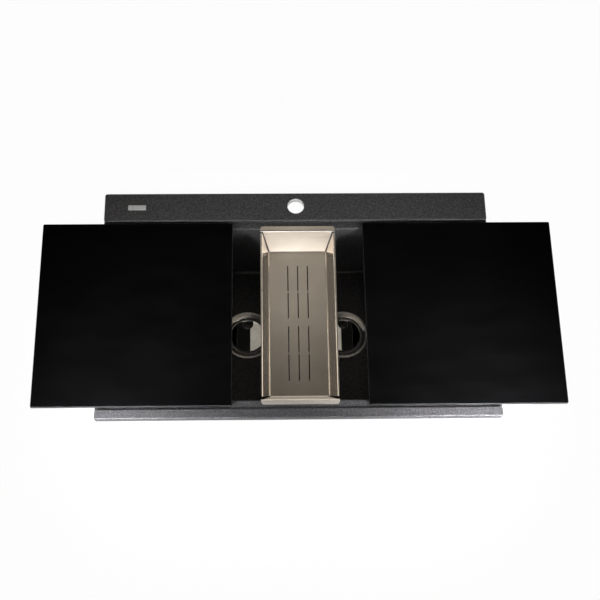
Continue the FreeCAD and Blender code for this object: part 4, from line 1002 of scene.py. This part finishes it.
def pale_floor(studio, material):
    """A wide round floor with a low wall along its edge."""
    steps = studio.floor_steps
    reach = studio.floor_reach
    level = CAD_BOX[0].z
    turns = [2.0 * math.pi * step / steps for step in range(steps)]
    edge = [(reach * math.cos(turn), reach * math.sin(turn)) for turn in turns]
    points = [(x, y, z) for z in (level, level + studio.wall_height) for x, y in edge]
    faces = [tuple(range(steps))]
    for step in range(steps):
        following = (step + 1) % steps
        faces.append((step, step + steps, following + steps, following))
    return stage_piece("studio_floor", points, faces, material)


def rectangle(low, high, margin):
    """Plan corners of a box, moved outwards by a margin, anticlockwise."""
    return [
        (low.x - margin, low.y - margin), (high.x + margin, low.y - margin),
        (high.x + margin, high.y + margin), (low.x - margin, high.y + margin)]


def worktop_panel(studio, material):
    """A thin white panel with the sink's cut-out, which hides what is below the worktop from above."""
    low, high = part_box("rim_seal")
    outline = rectangle(low, high, studio.panel_margin)
    cut_out = rectangle(low, high, -studio.panel_overlap)
    points = [(x, y, low.z) for x, y in outline + cut_out]
    faces = [(side, (side + 1) % 4, (side + 1) % 4 + 4, side + 4) for side in range(4)]
    return stage_piece("worktop_panel", points, faces, material)


# Operators

class PREPSINK_OT_basin(bpy.types.Operator):
    """Dresses the moulded basin, its badge plate and its rim seal"""

    bl_idname = "prep_sink.basin"
    bl_label = "Basin"

    def execute(self, context):
        finish = context.scene.sink_finish
        composite = granite_composite(finish)
        dress("sink_basin", composite)
        deck = dress("tap_deck", composite)
        # The tap hole's bore wall is painted pale as painted light, so the hole reads as a bright disc.
        bore_painted_light = moulded("drilled_composite", finish.bore_painted_light, polish=(0.7, 0.85))
        refinish(deck, bore_faces(deck.data, "tap_hole"), bore_painted_light)
        dress("badge_plate", plain_metal("badge_satin", finish.badge, polish=(0.42, 0.56), scale=700.0))
        dress("rim_seal", moulded("rim_foam", finish.foam, FOAM_SKIN, FOAM_CELLS))
        return {"FINISHED"}


class PREPSINK_OT_boards(bpy.types.Operator):
    """Makes the two glass boards and dresses the strips that they slide on"""

    bl_idname = "prep_sink.boards"
    bl_label = "Glass boards"

    def execute(self, context):
        finish = context.scene.sink_finish
        glass = (black_glass(finish), ground_glass(finish))
        silicone = moulded("glide_silicone", finish.silicone, polish=(0.5, 0.65))
        for side in SIDES:
            glass_board(side, context.scene.sink_boards, glass)
            dress(side + "_board_glides", silicone)
        return {"FINISHED"}


class PREPSINK_OT_tray(bpy.types.Operator):
    """Dresses the folded colander tray"""

    bl_idname = "prep_sink.tray"
    bl_label = "Colander tray"

    def execute(self, context):
        low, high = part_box("colander_tray")
        finish = context.scene.sink_finish
        tray = dress("colander_tray", brushed_steel(finish, low.y + finish.tray_flange))
        # The slots' walls are painted dark as painted shade.
        cut_steel = plain_metal("cut_steel", finish.slot_painted_shade, polish=(0.5, 0.65))
        refinish(tray, slot_faces(tray.data, low, high), cut_steel)
        return {"FINISHED"}


class PREPSINK_OT_wastes(bpy.types.Operator):
    """Dresses the wastes, their seals and the strainer baskets"""

    bl_idname = "prep_sink.wastes"
    bl_label = "Wastes"

    def execute(self, context):
        finish = context.scene.sink_finish
        low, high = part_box("right_waste_flange")
        centre = (low + high) / 2
        ring = turned_steel(
            "waste_ring_steel", finish.bright_steel, polish=(0.22, 0.30), centre=centre, stretch=0.85)
        lid = turned_steel("lid_steel", finish.bright_steel, polish=(0.004, 0.012), centre=centre)
        foam = moulded("waste_foam", finish.foam, FOAM_SKIN, FOAM_CELLS)
        dress_both({
            "waste_flange": ring,
            "basket_lid": lid,
            "strainer_basket": plain_metal("basket_steel", finish.basket_steel, polish=(0.25, 0.4)),
            "basket_plug": moulded("plug_rubber", finish.rubber, RUBBER_SKIN),
            "flange_seal": foam,
            "body_seal": foam,
            "waste_body": moulded("waste_plastic", finish.plastic, PLASTIC_SKIN),
        })
        return {"FINISHED"}


class PREPSINK_OT_overflows(bpy.types.Operator):
    """Dresses the overflow plates, seals, elbows and pipes"""

    bl_idname = "prep_sink.overflows"
    bl_label = "Overflows"

    def execute(self, context):
        finish = context.scene.sink_finish
        plastic = moulded("overflow_plastic", finish.plastic, PLASTIC_SKIN)
        dress_both({
            "overflow_plate": plain_metal("overflow_steel", finish.bright_steel, polish=(0.16, 0.24)),
            "overflow_seal": moulded("overflow_rubber", finish.rubber, RUBBER_SKIN),
            "overflow_elbow": plastic,
            "overflow_pipe": plastic,
        })
        return {"FINISHED"}


class PREPSINK_OT_pipework(bpy.types.Operator):
    """Dresses the drain pipes, washers and union nuts"""

    bl_idname = "prep_sink.pipework"
    bl_label = "Pipework"

    def execute(self, context):
        finish = context.scene.sink_finish
        pipe = moulded("pipe_plastic", finish.pipe, polish=(0.35, 0.45))
        nut = moulded("nut_plastic", finish.nut, polish=(0.4, 0.5))
        rubber = moulded("washer_rubber", finish.rubber, RUBBER_SKIN)
        dress("drain_tee", pipe)
        dress_both({
            "link_elbow": pipe,
            "outlet_nut": nut,
            "tee_nut": nut,
            "outlet_washer": rubber,
            "tee_washer": rubber,
        })
        return {"FINISHED"}


class PREPSINK_OT_clamps(bpy.types.Operator):
    """Dresses the worktop clamps"""

    bl_idname = "prep_sink.clamps"
    bl_label = "Worktop clamps"

    def execute(self, context):
        zinc = plain_metal("clip_zinc", context.scene.sink_finish.zinc, polish=(0.3, 0.5))
        dress("fixing_clips", zinc)
        return {"FINISHED"}


class PREPSINK_OT_screws(bpy.types.Operator):
    """Makes the screws of the clamps, the wastes and the overflow plates"""

    bl_idname = "prep_sink.screws"
    bl_label = "Screws"

    def execute(self, context):
        settings = context.scene.sink_fasteners
        steel = plain_metal("screw_steel", context.scene.sink_finish.screw_steel, polish=(0.2, 0.34))
        tree = screw_tree()
        upside_down = (HALF_TURN, 0.0, 0.0)
        facing_front = (QUARTER_TURN, 0.0, 0.0)
        rows = [("clip_screws", settings.clip_head, Z_AXIS, False, upside_down)]
        for side in SIDES:
            rows.append((side + "_waste_screws", settings.waste_head, Z_AXIS, True, NO_TURN))
            rows.append((side + "_overflow_screw", settings.overflow_head, Y_AXIS, False, facing_front))
        for node, head, axis, head_high, turn in rows:
            seats, sizes = self.measure(node, head, axis, head_high, settings)
            threaded = tree.grow(node + "_threaded", seats, turn, steel, **sizes)
            piece(node + "_threaded", threaded, node)
        return {"FINISHED"}

    def measure(self, node, head, axis, head_high, settings):
        """The seats of a CAD node's screws, whose heads are at one end of an axis, and their sizes."""
        boxes = islands(node)
        seats = []
        for low, high in boxes:
            seat = (low + high) / 2
            seat[axis] = high[axis] - head if head_high else low[axis] + head
            seats.append(seat)
        low, high = boxes[-1]
        sizes = {
            "Head Radius": (high[0] - low[0]) / 2, "Head Height": head,
            "Shank Radius": settings.shank_radius, "Shank Length": high[axis] - low[axis] - head,
            "Pitch": settings.thread_pitch, "Recess": settings.recess_width,
        }
        return seats, sizes


class PREPSINK_OT_threads(bpy.types.Operator):
    """Winds the threads that show on the waste outlets and the tee"""

    bl_idname = "prep_sink.threads"
    bl_label = "Pipe threads"

    def execute(self, context):
        settings = context.scene.sink_fasteners
        tree = pipe_thread_tree()
        for side, way in SIDES.items():
            low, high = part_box(side + "_outlet_nut")
            middle = (low + high) / 2
            washer_low, washer_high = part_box(side + "_outlet_washer")
            radius = (washer_high.x - washer_low.x) / 2
            start = Vector((middle.x, middle.y, high.z))
            name = side + "_outlet_thread"
            self.wind(tree, name, side + "_waste_body", start, NO_TURN, radius, settings)
            low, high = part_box(side + "_tee_nut")
            middle = (low + high) / 2
            washer_low, washer_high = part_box(side + "_tee_washer")
            radius = (washer_high.z - washer_low.z) / 2
            start = Vector((low.x if way > 0 else high.x, middle.y, middle.z))
            inwards = (0.0, -way * QUARTER_TURN, 0.0)
            self.wind(tree, side + "_tee_thread", "drain_tee", start, inwards, radius, settings)
        return {"FINISHED"}

    def wind(self, tree, name, node, start, turn, radius, settings):
        """Winds a thread round a pipe; it rides with the pipe and has its material."""
        sizes = {
            "Radius": radius, "Length": settings.pipe_pitch * settings.pipe_turns,
            "Pitch": settings.pipe_pitch, "Depth": settings.pipe_ridge,
        }
        made = linked(name, tree.grow(name, [start], turn, dressed_material(node), **sizes))
        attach(made, BODY_OF[node])


class PREPSINK_OT_studio(bpy.types.Operator):
    """Sets the floor, the panel, the room, the lamps and the camera"""

    bl_idname = "prep_sink.studio"
    bl_label = "Studio"

    def execute(self, context):
        scene = context.scene
        studio = scene.sink_studio
        pale = backdrop_material(studio)
        pale_floor(studio, pale)
        worktop_panel(studio, pale)
        scene.world = studio_world(studio)
        scene.view_settings.view_transform = "Standard"
        for side, way in SIDES.items():
            side_lamps(studio, side, way)
        front_lamps(studio)
        ceiling_lamps(studio)
        photo_camera(studio)
        return {"FINISHED"}


class PREPSINK_PT_panel(bpy.types.Panel):
    """Lists the sink's pieces in the sidebar"""

    bl_label = "Prep Sink"
    bl_idname = "PREPSINK_PT_panel"
    bl_space_type = "VIEW_3D"
    bl_region_type = "UI"
    bl_category = "Prep Sink"

    def draw(self, context):
        for operator in OPERATORS:
            self.layout.operator(operator.bl_idname)


SETTINGS = {
    "sink_finish": FinishSettings,
    "sink_boards": BoardSettings,
    "sink_fasteners": FastenerSettings,
    "sink_studio": StudioSettings,
}
OPERATORS = (
    PREPSINK_OT_basin, PREPSINK_OT_boards, PREPSINK_OT_tray, PREPSINK_OT_wastes, PREPSINK_OT_overflows,
    PREPSINK_OT_pipework, PREPSINK_OT_clamps, PREPSINK_OT_screws, PREPSINK_OT_threads, PREPSINK_OT_studio,
)


def register():
    for name, group in SETTINGS.items():
        bpy.utils.register_class(group)
        setattr(bpy.types.Scene, name, PointerProperty(type=group))
    for operator in OPERATORS:
        bpy.utils.register_class(operator)
    bpy.utils.register_class(PREPSINK_PT_panel)


def unregister():
    bpy.utils.unregister_class(PREPSINK_PT_panel)
    for operator in reversed(OPERATORS):
        bpy.utils.unregister_class(operator)
    for name, group in SETTINGS.items():
        delattr(bpy.types.Scene, name)
        bpy.utils.unregister_class(group)


def main():
    register()
    for operator in OPERATORS:
        group, name = operator.bl_idname.split(".")
        getattr(getattr(bpy.ops, group), name)()


if __name__ == "__main__":
    main()
